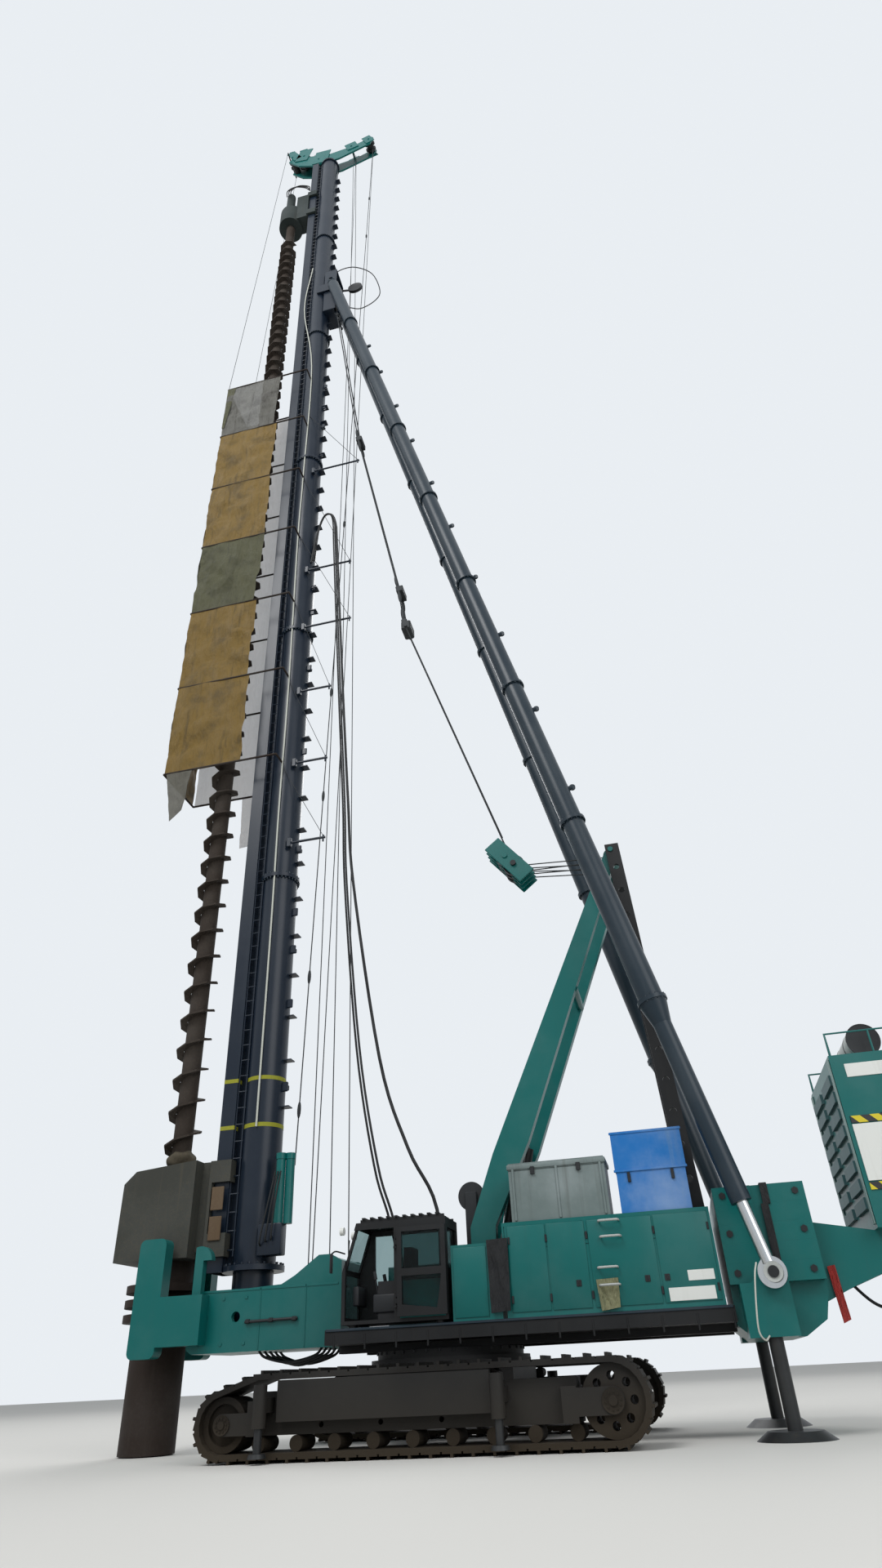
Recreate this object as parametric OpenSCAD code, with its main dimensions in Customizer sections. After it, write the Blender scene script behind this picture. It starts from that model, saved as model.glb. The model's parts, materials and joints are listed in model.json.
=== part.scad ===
// Crawler drilling and pile driving rig, a 1:2 scale model, in millimetres.
// Front is -X, the operator's left is -Y, up is +Z and the ground is z = 0.
// Lengths along X are measured from the drill axis, and place() centres the whole machine.

/* [Crawlers] */
// Distance between the centre lines of the two tracks
track_gauge = 2525; // [2300:25:2700]
// Width of a track shoe
shoe_w = 475; // [350:25:550]
// Distance between idler axle and sprocket axle
track_base = 3190; // [2900:10:3400]
// Outer radius of the track around the sprocket
sprocket_r = 285; // [260:5:300]
// Outer radius of the track around the idler
idler_r = 235; // [200:5:250]
// Number of shoes in one track
shoe_n = 48; // [36:1:56]
// Height of the bars on the shoes
grouser_h = 24; // [10:1:35]
// Distance from the drill axis to the slewing axis
slew_x = 3072; // [2950:1:3200]

/* [Upper works] */
// Height of the underside of the slewing deck
deck_z = 725; // [715:5:740]
// Thickness of the slewing deck
deck_t = 175; // [150:5:200]
// Width of the deck and of the engine housing
deck_w = 1750; // [1650:10:1850]
// Length of the cab
cab_l = 1000; // [900:10:1050]
// Width of the cab
cab_w = 480; // [420:10:540]
// Height of the cab
cab_h = 820; // [760:10:860]
// Length of the engine housing
hood_l = 1850; // [1700:25:2000]
// Height of the engine housing
hood_h = 750; // [700:10:800]
// Thickness of housing and cab walls
wall_t = 25; // [15:1:35]
// Number of counterweight slabs
slab_n = 5; // [3:1:6]
// Thickness of a counterweight slab
slab_t = 150; // [120:5:160]
// Length of the counterweight slabs
slab_l = 780; // [700:10:850]
// Length of the power pack behind the counterweight
pack_l = 1250; // [1000:25:1400]

/* [Leader] */
// Height of the top of the leader tube
leader_top = 28580; // [27000:10:30000]
// Length of one leader section
section_l = 4500; // [4200:10:4500]
// Number of full leader sections above the foot section
section_n = 5; // [4:1:5]
// Outer diameter of the leader tube
tube_d = 450; // [420:5:460]
// Wall of the leader tube
tube_wall = 14; // [10:1:20]
// Distance from the drill axis to the centre of the leader tube
tube_x = 990; // [980:5:1010]
// Width of the rail box on the front of the leader
rail_w = 380; // [350:5:390]
// Depth of the rail box
rail_d = 170; // [150:5:180]
// Distance from the drill axis to the front face of the rail box
rail_x = 550; // [540:5:560]

/* [Back stays] */
// Height of the pin that joins the stays to the leader
stay_top_z = 21300; // [20000:50:22000]
// Outer diameter of the stay tube
stay_d = 250; // [220:5:270]
// Half the distance between the feet of the stays
stay_foot_y = 1100; // [1080:5:1120]
// Half the distance between the tops of the stays
stay_top_y = 340; // [335:5:350]

/* [Drilling tools] */
// Diameter over the auger flights
auger_d = 420; // [380:5:440]
// Diameter of the auger stem
stem_d = 220; // [180:5:240]
// Pitch of the auger flights
auger_pitch = 365; // [330:5:400]
// Outer diameter of the casing
casing_d = 540; // [520:5:560]
// Wall of the casing
casing_wall = 20; // [12:1:25]

/* [Spoil guard] */
// Number of guard panels, one above the other
guard_n = 6; // [4:1:6]
// Height of one guard panel
guard_h = 1633; // [1500:1:1650]
// Height of the lower edge of the guard
guard_z = 7900; // [7500:50:8200]
// Distance from the drill axis to the front of the guard
guard_front = 750; // [700:10:800]
// Half the width of the guard
guard_half = 445; // [435:5:470]

/* [Gantry] */
// Height of the gantry head
gantry_z = 5560; // [5200:10:5800]
// Half the distance between the gantry legs
gantry_y = 330; // [300:10:360]

/* [Hidden] */
$fn = 48;

teal = [0.0, 0.37, 0.39];
slate = [0.13, 0.16, 0.2];
black = [0.07, 0.07, 0.08];
mud = [0.3, 0.27, 0.23];
chrome = [0.75, 0.76, 0.78];
ochre = [0.72, 0.5, 0.12];
pale = [0.78, 0.8, 0.8];

LEFT = -1;
RIGHT = 1;
fit_gap = 0.3;

// Crawlers
idler_x = slew_x - track_base / 2;
sprocket_x = slew_x + track_base / 2;
sprocket_z = sprocket_r + grouser_h;
idler_z = idler_r + grouser_h;
track_y = track_gauge / 2;
band_t = 42;
shoe_gap_d = 14;
shoe_gap_w = 16;
carrier_x = idler_x + 300;
carrier_r = 40;
carrier_z = 2 * sprocket_r + grouser_h - band_t - carrier_r - fit_gap;
jack_d = 110;
jack_rod_d = 64;
jack_foot_d = 150;
jack_foot_t = 30;
jack_foot_z = 40;
jack_x = [1845, 3800];
jack_y = track_y + shoe_w / 2 + jack_foot_d / 2 + 12;
jack_top = 520;

// Upper works
deck_top = deck_z + deck_t;
deck_front = 2120;
cab_x = 2275;
cab_side = -deck_w / 2;
cab_z = deck_top + 30;
hood_x = 3800;
hood_end = hood_x + hood_l;
hood_top = deck_top + hood_h;
slab_x = hood_end + 60;
slab_end = slab_x + slab_l;
slab_z = deck_top + 150;
pack_x = slab_end + 515;
pack_end = pack_x + pack_l;
pack_z = 1400;
pack_h = 1450;
pack_w = 1500;

// Leader
foot_z = 1500;
foot_pin = [860, 1200];
foot_pin_d = 110;
section_z0 = leader_top - section_n * section_l;
flange_d = tube_d + 60;
flange_t = 50;
bracket_x = 540;
bracket_w = 900;
bracket_z = 790;
bracket_top = 1330;
web_w = 180;

// Stays
stay_foot = [6050, stay_foot_y, 1100];
stay_top = [1380, stay_top_y, stay_top_z];
stay_pin_d = 90;

// Tools
casing_z = 10;
casing_top = 1100;
drive_z = 1640;
drive_h = 940;
top_drive_z = 25450;
mid_x = (pack_end - guard_front - 15) / 2;

module place() {
    translate([-mid_x, 0, 0])
        children();
}

// One box from its lowest to its highest corner
module block(lo, hi) {
    translate(lo)
        cube(hi - lo);
}

// A side profile drawn in X and Z, with its thickness across the machine from y0 to y1
module side_plate(y0, y1) {
    translate([0, y1, 0])
        rotate([90, 0, 0])
            linear_extrude(y1 - y0)
                children();
}

// A round bar between two points
module bar(a, b, d) {
    v = b - a;
    len = norm(v);
    translate(a)
        rotate([0, acos(v[2] / len), atan2(v[1], v[0])])
            cylinder(d = d, h = len);
}

// A cross bar along Y
module cross_bar(x, z, y0, y1, d) {
    translate([x, y1, z])
        rotate([90, 0, 0])
            cylinder(d = d, h = y1 - y0);
}

// Track path: bottom run, sprocket arc, top run, slope to the idler, idler arc
track_top_z = sprocket_z + sprocket_r;
slope_d = norm([carrier_x - idler_x, track_top_z - idler_z]);
slope_a = atan2(track_top_z - idler_z, carrier_x - idler_x) + acos(idler_r / slope_d);
slope_l = sqrt(slope_d * slope_d - idler_r * idler_r);
run1 = track_base;
run2 = run1 + PI * sprocket_r;
run3 = run2 + sprocket_x - carrier_x;
run4 = run3 + slope_l;
track_l = run4 + PI * idler_r * (270 - slope_a) / 180;
function on_arc(cx, cz, r, a) = [cx + r * cos(a), cz + r * sin(a), a];
// Point and outward angle at a distance along the track
function track_at(s) =
    s < run1 ? [idler_x + s, grouser_h, -90] :
    s < run2 ? on_arc(sprocket_x, sprocket_z, sprocket_r, -90 + (s - run1) / sprocket_r * 180 / PI) :
    s < run3 ? [sprocket_x - (s - run2), track_top_z, 90] :
    s < run4 ? let (t = (s - run3) / slope_l, a = slope_a,
            p = on_arc(idler_x, idler_z, idler_r, a))
        [carrier_x + t * (p[0] - carrier_x), track_top_z + t * (p[1] - track_top_z), a] :
    on_arc(idler_x, idler_z, idler_r, slope_a + (s - run4) / idler_r * 180 / PI);
// Point beside the path: u along the shoe, w outwards
function beside(p, u, w) = [p[0] + w * cos(p[2]) - u * sin(p[2]), p[1] + w * sin(p[2]) + u * cos(p[2])];

module track_outline() {
    pitch = track_l / shoe_n;
    half = (pitch - shoe_gap_w) / 2;
    bar_half = 11;
    // Along the shoe, and height over its face
    shoe = [[-half, -shoe_gap_d], [-half, 0], [-bar_half, 0], [-bar_half, grouser_h],
        [bar_half, grouser_h], [bar_half, 0], [half, 0], [half, -shoe_gap_d]];
    polygon([for (i = [0:shoe_n - 1]) let (p = track_at((i + 0.5) * pitch))
        for (q = shoe) beside(p, q[0], q[1])]);
}

module track_inner() {
    polygon([for (i = [0:2 * shoe_n - 1]) let (p = track_at((i + 0.5) * track_l / shoe_n / 2))
        beside(p, 0, -band_t)]);
}

module track(side) {
    color(black)
        side_plate(side * track_y - shoe_w / 2, side * track_y + shoe_w / 2)
            difference() {
                track_outline();
                track_inner();
            }
}

module track_left() {
    track(LEFT);
}

module track_right() {
    track(RIGHT);
}

// Radius of a wheel that seats in the many-sided inner face of the track
function seat_r(r) = (r - band_t) * cos(track_l / shoe_n / r * 45 / PI) - fit_gap;
wheel_r = seat_r(sprocket_r);
idler_wheel_r = seat_r(idler_r);
axle_d = 90;
fork_in = 195;
fork_out = 226;
roller_d = 110;
roller_n = 9;
roller_z = grouser_h + band_t + roller_d / 2 + fit_gap;

module track_wheels() {
    color(mud)
        for (side = [LEFT, RIGHT]) {
            y = side * track_y;
            difference() {
                cross_bar(sprocket_x, sprocket_z, y - 190, y + 190, 2 * wheel_r);
                for (a = [0:45:315])
                    translate([sprocket_x, 0, sprocket_z])
                        rotate([0, a, 0])
                            cross_bar(wheel_r * 0.66, 0, y - 200, y + 200, 62);
                cross_bar(sprocket_x, sprocket_z, y - 200, y + 200, axle_d + 2 * fit_gap);
            }
            difference() {
                cross_bar(idler_x, idler_z, y - 170, y + 170, 2 * idler_wheel_r);
                for (s = [LEFT, RIGHT])
                    cross_bar(idler_x, idler_z, y + s * 150 - 25, y + s * 150 + 25, 1.5 * idler_wheel_r);
                cross_bar(idler_x, idler_z, y - 200, y + 200, axle_d + 2 * fit_gap);
            }
            for (i = [0:roller_n - 1])
                cross_bar(idler_x + 300 + i * (track_base - 600) / (roller_n - 1), roller_z, y - 150, y + 150, roller_d);
            for (i = [0:1])
                cross_bar(carrier_x + 650 + i * 1300, carrier_z, y - 120, y + 120, 2 * carrier_r);
        }
}

// Side frames between idler and sprocket, with the long outer box and the jack sleeves
module track_frames() {
    low = roller_z + roller_d / 2 + fit_gap;
    high = carrier_z - carrier_r - fit_gap;
    x0 = idler_x + idler_wheel_r + 30;
    x1 = sprocket_x - wheel_r - 30;
    color(black)
        for (side = [LEFT, RIGHT]) {
            y = side * track_y;
            outer = y + side * shoe_w / 2;
            difference() {
                union() {
                    block([x0, y - 130, low], [x1, y + 130, high]);
                    // Forks and axles for idler and sprocket
                    block([x0, y - fork_out, low], [x0 + 120, y + fork_out, high - 60]);
                    block([x1 - 120, y - fork_out, low], [x1, y + fork_out, high - 60]);
                    for (s = [LEFT, RIGHT])
                        side_plate(y + s * (fork_in + fork_out) / 2 - (fork_out - fork_in) / 2,
                            y + s * (fork_in + fork_out) / 2 + (fork_out - fork_in) / 2) {
                            translate([idler_x, idler_z - 75])
                                square([x0 - idler_x + 60, 150]);
                            translate([idler_x, idler_z])
                                circle(r = 75);
                            translate([x1 - 60, sprocket_z - 90])
                                square([sprocket_x - x1 + 60, 180]);
                            translate([sprocket_x, sprocket_z])
                                circle(r = 90);
                        }
                    cross_bar(idler_x, idler_z, y - fork_in - 5, y + fork_in + 5, axle_d);
                    cross_bar(sprocket_x, sprocket_z, y - fork_in - 5, y + fork_in + 5, axle_d);
                    // Outer box
                    block([jack_x[0] + 110, min(outer, y), 265], [jack_x[1] - 75, max(outer, y), high - 20]);
                    block([jack_x[0] + 110, min(outer, y + side * 150), 265], [jack_x[1] - 75, max(outer, y + side * 150), 545]);
                }
                for (i = [0:4])
                    cross_bar(jack_x[0] - 40 + 500 * i, low + 60, y - 140, y + 140, 40);
            }
            for (x = jack_x)
                difference() {
                    union() {
                        translate([x, side * jack_y, 230])
                            cylinder(d = jack_d, h = jack_top - 230);
                        block([x - 50, min(y + side * 130, side * jack_y), 330], [x + 50, max(y + side * 130, side * jack_y), 430]);
                    }
                    translate([x, side * jack_y, 229])
                        cylinder(d = jack_rod_d + 2 * fit_gap, h = 261);
                }
        }
}

module jack(x, side) {
    color(chrome) {
        translate([x, side * jack_y, jack_foot_z])
            cylinder(d1 = jack_foot_d, d2 = jack_foot_d - 20, h = jack_foot_t);
        translate([x, side * jack_y, jack_foot_z + jack_foot_t])
            cylinder(d = jack_rod_d, h = 240);
    }
}

module jack_front_left() {
    jack(jack_x[0], LEFT);
}

module jack_front_right() {
    jack(jack_x[0], RIGHT);
}

module jack_back_left() {
    jack(jack_x[1], LEFT);
}

module jack_back_right() {
    jack(jack_x[1], RIGHT);
}

ring_d = 1500;
ring_z = 640;

// Centre frame with its four arms to the side frames and the slewing ring
module carbody() {
    color(black) {
        block([slew_x - 700, -650, 260], [slew_x + 700, 650, ring_z - 40]);
        for (sx = [LEFT, RIGHT])
            for (sy = [LEFT, RIGHT])
                block([slew_x + sx * 620 - 170, min(sy * 600, sy * (track_y - 130)), 300],
                    [slew_x + sx * 620 + 170, max(sy * 600, sy * (track_y - 130)), 440]);
        translate([slew_x, 0, ring_z - 40])
            cylinder(d = ring_d, h = 60);
    }
}

module slew_deck() {
    color(black) {
        translate([slew_x, 0, ring_z + 20 + fit_gap])
            cylinder(d = ring_d - 120, h = deck_z - ring_z - 20 - fit_gap);
        block([deck_front, -deck_w / 2, deck_z + 60], [slab_x, deck_w / 2, deck_top]);
        for (y = [-420, 420])
            block([deck_front, y - 60, deck_z], [slab_x, y + 60, deck_z + 60]);
    }
}

// Girder that carries the foot of the leader on two hidden trunnion seats
bracket_wall = 60;
well_y = bracket_w / 2 - bracket_wall;
module front_bracket() {
    color(teal)
        difference() {
            side_plate(-bracket_w / 2, bracket_w / 2)
                polygon([[bracket_x, bracket_z + 40], [bracket_x + 60, bracket_z], [deck_front, bracket_z],
                    [deck_front, 1500], [2000, 1560], [1880, 1560], [1640, 1400], [1500, bracket_top],
                    [bracket_x, bracket_top - 40]]);
            block([rail_x + 60, -well_y, bracket_z + 60], [1480, well_y, 1700]);
            block([1540, -well_y, bracket_z + 60], [2060, well_y, 1700]);
            for (x = [700, 1040])
                cross_bar(x, 1080, -bracket_w, bracket_w, 90);
            cross_bar(foot_pin[0], foot_pin[1], -well_y - 35, well_y + 35, foot_pin_d + 2 * fit_gap);
        }
}

// Arms with tall posts beside the casing, and the hook posts behind them
post_r = 60;
post_t = 155;
module casing_posts() {
    color(teal)
        for (side = [LEFT, RIGHT]) {
            a = side * bracket_w / 2;
            b = side * (bracket_w / 2 + post_t);
            side_plate(min(a, b), max(a, b)) {
                for (x = [60, 230])
                    translate([x, 0])
                        for (z = [830, 1740])
                            translate([0, z])
                                circle(r = post_r);
                translate([0, 830])
                    square([290, 910]);
                translate([60, 770])
                    square([170, 1030]);
                translate([289, 860])
                    square([451, 420]);
            }
            d = side * (bracket_w / 2 + 80);
            side_plate(min(a, d), max(a, d)) {
                translate([590, 1279])
                    square([90, 302]);
                intersection() {
                    translate([640, 1580])
                        circle(r = 130);
                    translate([590, 1580])
                        square([200, 140]);
                }
            }
        }
}

// Cab
cab_back = cab_x + cab_l;
cab_in = cab_side + cab_w;
cab_top = cab_z + cab_h;
door_w = 470;
door_t = 35;
door_x = cab_x + 30;
door_z = cab_z + 30;
door_h = cab_h - 90;

module cab_side_shape() {
    polygon([[cab_x, cab_z], [cab_back, cab_z], [cab_back, cab_top], [cab_x + 130, cab_top], [cab_x, cab_z + 420]]);
}

module cab_shell() {
    t = wall_t;
    color(black) {
        difference() {
            side_plate(cab_side, cab_in)
                cab_side_shape();
            // Room inside
            side_plate(cab_side + t, cab_in - t)
                offset(delta = -t)
                    cab_side_shape();
            // Doorway and side windows
            block([door_x, cab_side - 1, door_z], [door_x + door_w, cab_side + t + 1, door_z + door_h]);
            side_plate(cab_side - 1, cab_side + t + 1)
                side_window(0, door_x + door_w + 60);
            side_plate(cab_in - t - 1, cab_in + 1)
                side_window(0, cab_x + 180);
            // Windscreen and rear window
            block([cab_x - 1, cab_side + 50, cab_z + 60], [cab_x + t + 1, cab_in - 50, cab_z + 400]);
            slope_window(0);
            block([cab_back - t - 1, cab_side + 60, cab_z + 400], [cab_back + 1, cab_in - 60, cab_top - 80]);
        }
        // Feet on the deck
        for (x = [cab_x + 90, cab_back - 90])
            for (y = [cab_side + 70, cab_in - 70])
                translate([x, y, deck_top])
                    cylinder(d = 80, h = cab_z - deck_top + 5);
        // Lugs and pins for the door
        for (z = knuckle_z) {
            block([door_hinge_x - 13, door_hinge_y - 13, z - 20], [door_hinge_x + 13, cab_side + 5, z - fit_gap]);
            translate([door_hinge_x, door_hinge_y, z - 10])
                cylinder(d = hinge_pin_d, h = knuckle_h + 14);
        }
    }
}

module side_window(inset, x0) {
    translate([x0 + inset, cab_z + 330 + inset])
        square([cab_back - 70 - x0 - 2 * inset, cab_h - 400 - 2 * inset]);
}

// Sloped upper windscreen
module slope_window(inset) {
    translate([cab_x, 0, cab_z + 420])
        rotate([0, atan2(130, cab_h - 420), 0])
            block([inset > 0 ? 6 : -30, cab_side + 50 + inset, 30 + inset],
                [inset > 0 ? 14 : wall_t + 6, cab_in - 50 - inset, cab_h - 450 - inset]);
}

module cab_glass() {
    f = fit_gap;
    color(pale) {
        block([cab_x + 8, cab_side + 50 + f, cab_z + 60 + f], [cab_x + 16, cab_in - 50 - f, cab_z + 400 - f]);
        block([cab_back - 16, cab_side + 60 + f, cab_z + 400 + f], [cab_back - 8, cab_in - 60 - f, cab_top - 80 - f]);
        slope_window(f);
        side_plate(cab_side + 8, cab_side + 16)
            side_window(f, door_x + door_w + 60);
        side_plate(cab_in - 16, cab_in - 8)
            side_window(f, cab_x + 180);
    }
}

module cab_seat() {
    mid = (cab_side + cab_in) / 2;
    color([0.12, 0.12, 0.13]) {
        block([cab_x + 400, mid - 70, cab_z + wall_t], [cab_x + 520, mid + 70, cab_z + 200]);
        block([cab_x + 330, mid - 120, cab_z + 200], [cab_x + 600, mid + 120, cab_z + 270]);
        block([cab_x + 560, mid - 110, cab_z + 270], [cab_x + 640, mid + 110, cab_z + 600]);
        for (s = [LEFT, RIGHT])
            block([cab_x + 330, mid + s * 155 - 30, cab_z + wall_t], [cab_x + 520, mid + s * 155 + 30, cab_z + 330]);
    }
}

module cab_roof_guard() {
    color(black) {
        for (i = [0:9])
            block([cab_x + 180 + i * 80, cab_side + 20, cab_top + 30], [cab_x + 210 + i * 80, cab_in - 20, cab_top + 45]);
        for (y = [cab_side + 40, cab_in - 60])
            block([cab_x + 160, y, cab_top], [cab_back - 20, y + 20, cab_top + 30]);
    }
}

// The door stands folded back along the rear half of the cab
door_hinge_x = door_x + door_w + 20;
door_hinge_y = cab_side - 26;
door_y0 = door_hinge_y - door_t - 4;
door_x0 = door_hinge_x + 26;
door_x1 = door_hinge_x + door_w + 14;
knuckle_h = 60;
knuckle_z = [door_z + 100, door_z + door_h - 160];
hinge_pin_d = 12;

module door_windows(inset) {
    translate([door_x0 + 45 + inset, door_z + 380 + inset])
        square([door_x1 - door_x0 - 90 - 2 * inset, door_h - 430 - 2 * inset]);
    polygon([[door_x0 + 45 + inset, door_z + 100 + inset], [door_x1 - 90 - inset, door_z + 60 + inset],
        [door_x1 - 45 - 2 * inset, door_z + 320 - inset], [door_x0 + 45 + inset, door_z + 320 - inset]]);
}

module cab_door() {
    color(black) {
        difference() {
            block([door_x0, door_y0, door_z + 8], [door_x1, door_y0 + door_t, door_z + door_h - 8]);
            side_plate(door_y0 - 1, door_y0 + door_t + 1)
                door_windows(0);
        }
        for (z = knuckle_z)
            translate([door_hinge_x, door_hinge_y, z])
                difference() {
                    union() {
                        cylinder(d = 26, h = knuckle_h);
                        translate([0, -20, 10])
                            cube([27, 14, knuckle_h - 20]);
                    }
                    translate([0, 0, -1])
                        cylinder(d = hinge_pin_d + 0.2, h = knuckle_h + 2);
                }
    }
}

module door_glass() {
    y = door_y0 + door_t / 2;
    color(pale)
        side_plate(y - 4, y + 4)
            door_windows(fit_gap);
}

// Engine housing with its door leaves standing a little proud
seam_x = [4530, 5125];
module engine_housing() {
    t = wall_t;
    color(teal) {
        difference() {
            block([hood_x, -deck_w / 2, deck_top], [hood_end, deck_w / 2, hood_top]);
            block([hood_x + t, -deck_w / 2 + t, deck_top - 1], [hood_end - t, deck_w / 2 - t, hood_top - t]);
            for (side = [LEFT, RIGHT]) {
                for (x = concat([hood_x + 20], seam_x, [hood_end - 30]))
                    block([x - 4, side * deck_w / 2 - 8, deck_top + 60], [x + 4, side * deck_w / 2 + 8, hood_top - 30]);
                block([hood_x + 20, side * deck_w / 2 - 8, 1430], [hood_end - 30, side * deck_w / 2 + 8, 1438]);
            }
        }
        block([cab_back + 40, -deck_w / 2, deck_top], [hood_x - 40, -deck_w / 2 + 350, 1500]);
    }
}

module front_tank() {
    color(teal)
        block([2360, 330, deck_top], [3340, deck_w / 2, 1480]);
}

module engine_block() {
    color([0.3, 0.3, 0.3])
        block([4000, -350, deck_top], [5200, 350, deck_top + 560]);
}

module roof_chest() {
    color([0.45, 0.5, 0.52])
        difference() {
            block([3900, -850, hood_top], [4800, -430, hood_top + 500]);
            block([3890, -851, hood_top + 430], [4810, -842, hood_top + 440]);
        }
}

module blue_chests() {
    color([0.03, 0.25, 0.55]) {
        block([4900, -850, hood_top], [5520, -480, hood_top + 340]);
        block([4890, -855, hood_top + 350], [5530, -475, hood_top + 690]);
        block([4960, -800, hood_top + 339], [5460, -530, hood_top + 351]);
    }
}

module counterweights() {
    color(teal)
        for (i = [0:slab_n - 1])
            difference() {
                block([slab_x, -800, slab_z + i * slab_t + fit_gap], [slab_end, 800, slab_z + (i + 1) * slab_t]);
                for (s = [LEFT, RIGHT])
                    block([slab_x + 330, s * 800 - 20, slab_z + i * slab_t], [slab_x + 420, s * 800 + 20, slab_z + (i + 1) * slab_t]);
            }
}

// Tail frame under the counterweight with the boxes for stays and jacks
tail_z = 660;
rear_jack_x = 5970;
rear_jack_y = 950;
rear_jack_d = 116;
module rear_body() {
    color(teal)
        difference() {
            union() {
                side_plate(-700, 700)
                    polygon([[slab_x, tail_z + 100], [slab_x + 120, tail_z], [slab_end - 250, tail_z],
                        [slab_end - 60, tail_z + 110], [slab_end, tail_z + 300], [slab_end, slab_z], [slab_x, slab_z]]);
                for (side = [LEFT, RIGHT]) {
                    block([5775, min(side * 650, side * 1030), tail_z], [6165, max(side * 650, side * 1030), 1040]);
                    // Ear for the stay pin
                    side_plate(side * 1000 - 30, side * 1000 + 30)
                        polygon([[5860, 1039], [6165, 1039], [6165, 1100], [6115, 1190], [5985, 1190], [5935, 1100]]);
                    cross_bar(stay_foot[0], stay_foot[2], side * 1085 - 75, side * 1085 + 75, stay_pin_d);
                }
            }
            for (side = [LEFT, RIGHT])
                translate([rear_jack_x, side * rear_jack_y, tail_z - 1])
                    cylinder(d = rear_jack_d + 2 * fit_gap, h = 371);
        }
}

module rear_jack(side) {
    color(chrome) {
        translate([rear_jack_x, side * rear_jack_y, 60])
            cylinder(d = rear_jack_d, h = 720);
        translate([rear_jack_x, side * rear_jack_y, 0])
            cylinder(d1 = 600, d2 = 420, h = 60);
    }
}

module rear_jack_left() {
    rear_jack(LEFT);
}

module rear_jack_right() {
    rear_jack(RIGHT);
}

module pack_arm() {
    color(teal)
        for (y = [-520, 520])
            side_plate(y - 60, y + 60)
                polygon([[slab_end, 900], [slab_end + 250, 1000], [pack_x + 500, 1250], [pack_x + pack_l * 0.7, pack_z],
                    [pack_x, pack_z], [slab_end, 1500]]);
}

module power_pack() {
    color(teal)
        difference() {
            block([pack_x, -pack_w / 2, pack_z], [pack_end, pack_w / 2, pack_z + pack_h]);
            block([pack_x + 40, -pack_w / 2 + 40, pack_z + 40], [pack_end - 40, pack_w / 2 - 40, pack_z + pack_h - 40]);
            block([pack_x + 300, -pack_w / 2 - 1, pack_z + 900], [pack_end - 200, -pack_w / 2 + 10, pack_z + 910]);
        }
}

module pack_louvres() {
    color(pale)
        for (s = [LEFT, RIGHT])
            for (i = [0:7])
                block([pack_x - 30, s * 360 - 280, pack_z + 160 + i * 150], [pack_x, s * 360 + 280, pack_z + 250 + i * 150]);
}

module pack_silencer() {
    color(pale)
        cross_bar(pack_x + 380, pack_z + pack_h + 150, -600, 300, 300);
}

// Gantry
gantry_foot = [3500, 1560];
gantry_top = [5375, gantry_z];
strut_foot_x = 5560;
gantry_axle = [gantry_top[0] - 25, gantry_z + 10];
gantry_axle_d = 60;
lift_pin = [3915, 2480];
lift_pin_d = 80;
module gantry_legs() {
    color(teal)
        difference() {
            union() {
                for (side = [LEFT, RIGHT]) {
                    y = side * gantry_y;
                    side_plate(y - 55, y + 55)
                        polygon([[gantry_foot[0] - 90, deck_top], [gantry_foot[0] + 110, deck_top],
                            [gantry_foot[0] + 160, 1700], [gantry_foot[0] + 560, 2450], [gantry_top[0] + 30, gantry_z - 60],
                            [gantry_top[0] + 30, gantry_z + 90], [gantry_top[0] - 90, gantry_z + 20],
                            [gantry_foot[0] + 180, 2350], [gantry_foot[0] - 90, 1700]]);
                }
                cross_bar(lift_pin[0], lift_pin[1], -gantry_y, gantry_y, lift_pin_d);
                cross_bar(4700, 3980, -gantry_y, gantry_y, 90);
            }
            cross_bar(gantry_axle[0], gantry_axle[1], -gantry_y - 60, gantry_y + 60, gantry_axle_d + 2 * fit_gap);
        }
}

module gantry_struts() {
    color(black)
        for (side = [LEFT, RIGHT]) {
            y = side * (gantry_y + 76);
            side_plate(y - 20, y + 20)
                difference() {
                    polygon([[gantry_top[0] - 85, gantry_z + 80], [gantry_top[0] + 75, gantry_z + 80],
                        [strut_foot_x + 80, hood_top], [strut_foot_x - 80, hood_top]]);
                    for (i = [1:12])
                        translate([gantry_top[0] - 5 + (strut_foot_x + 5 - gantry_top[0]) * i / 13,
                            gantry_z + 80 + (hood_top - gantry_z - 80) * i / 13])
                            circle(d = 70);
                    translate(gantry_axle)
                        circle(d = gantry_axle_d + 2 * fit_gap);
                }
        }
}

module gantry_head() {
    color(teal) {
        cross_bar(gantry_axle[0], gantry_axle[1], -gantry_y - 110, gantry_y + 110, gantry_axle_d);
        cross_bar(gantry_axle[0], gantry_axle[1], -gantry_y + 55 + fit_gap, gantry_y - 55 - fit_gap, 190);
    }
}

module gantry_cylinders() {
    foot = [3570, deck_top];
    v = (lift_pin - foot) / norm(lift_pin - foot);
    mid = foot + v * 1150;
    color(chrome)
        for (side = [LEFT, RIGHT]) {
            y = side * (gantry_y - 130);
            difference() {
                union() {
                    bar([foot[0], y, foot[1] + 20], [mid[0], y, mid[1]], 104);
                    bar([mid[0], y, mid[1]], [lift_pin[0], y, lift_pin[1]], 60);
                    cross_bar(lift_pin[0], lift_pin[1], y - 35, y + 35, lift_pin_d + 60);
                    block([foot[0] - 60, y - 50, deck_top], [foot[0] + 60, y + 50, deck_top + 60]);
                }
                cross_bar(lift_pin[0], lift_pin[1], y - 40, y + 40, lift_pin_d + 2 * fit_gap);
            }
        }
}

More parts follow.
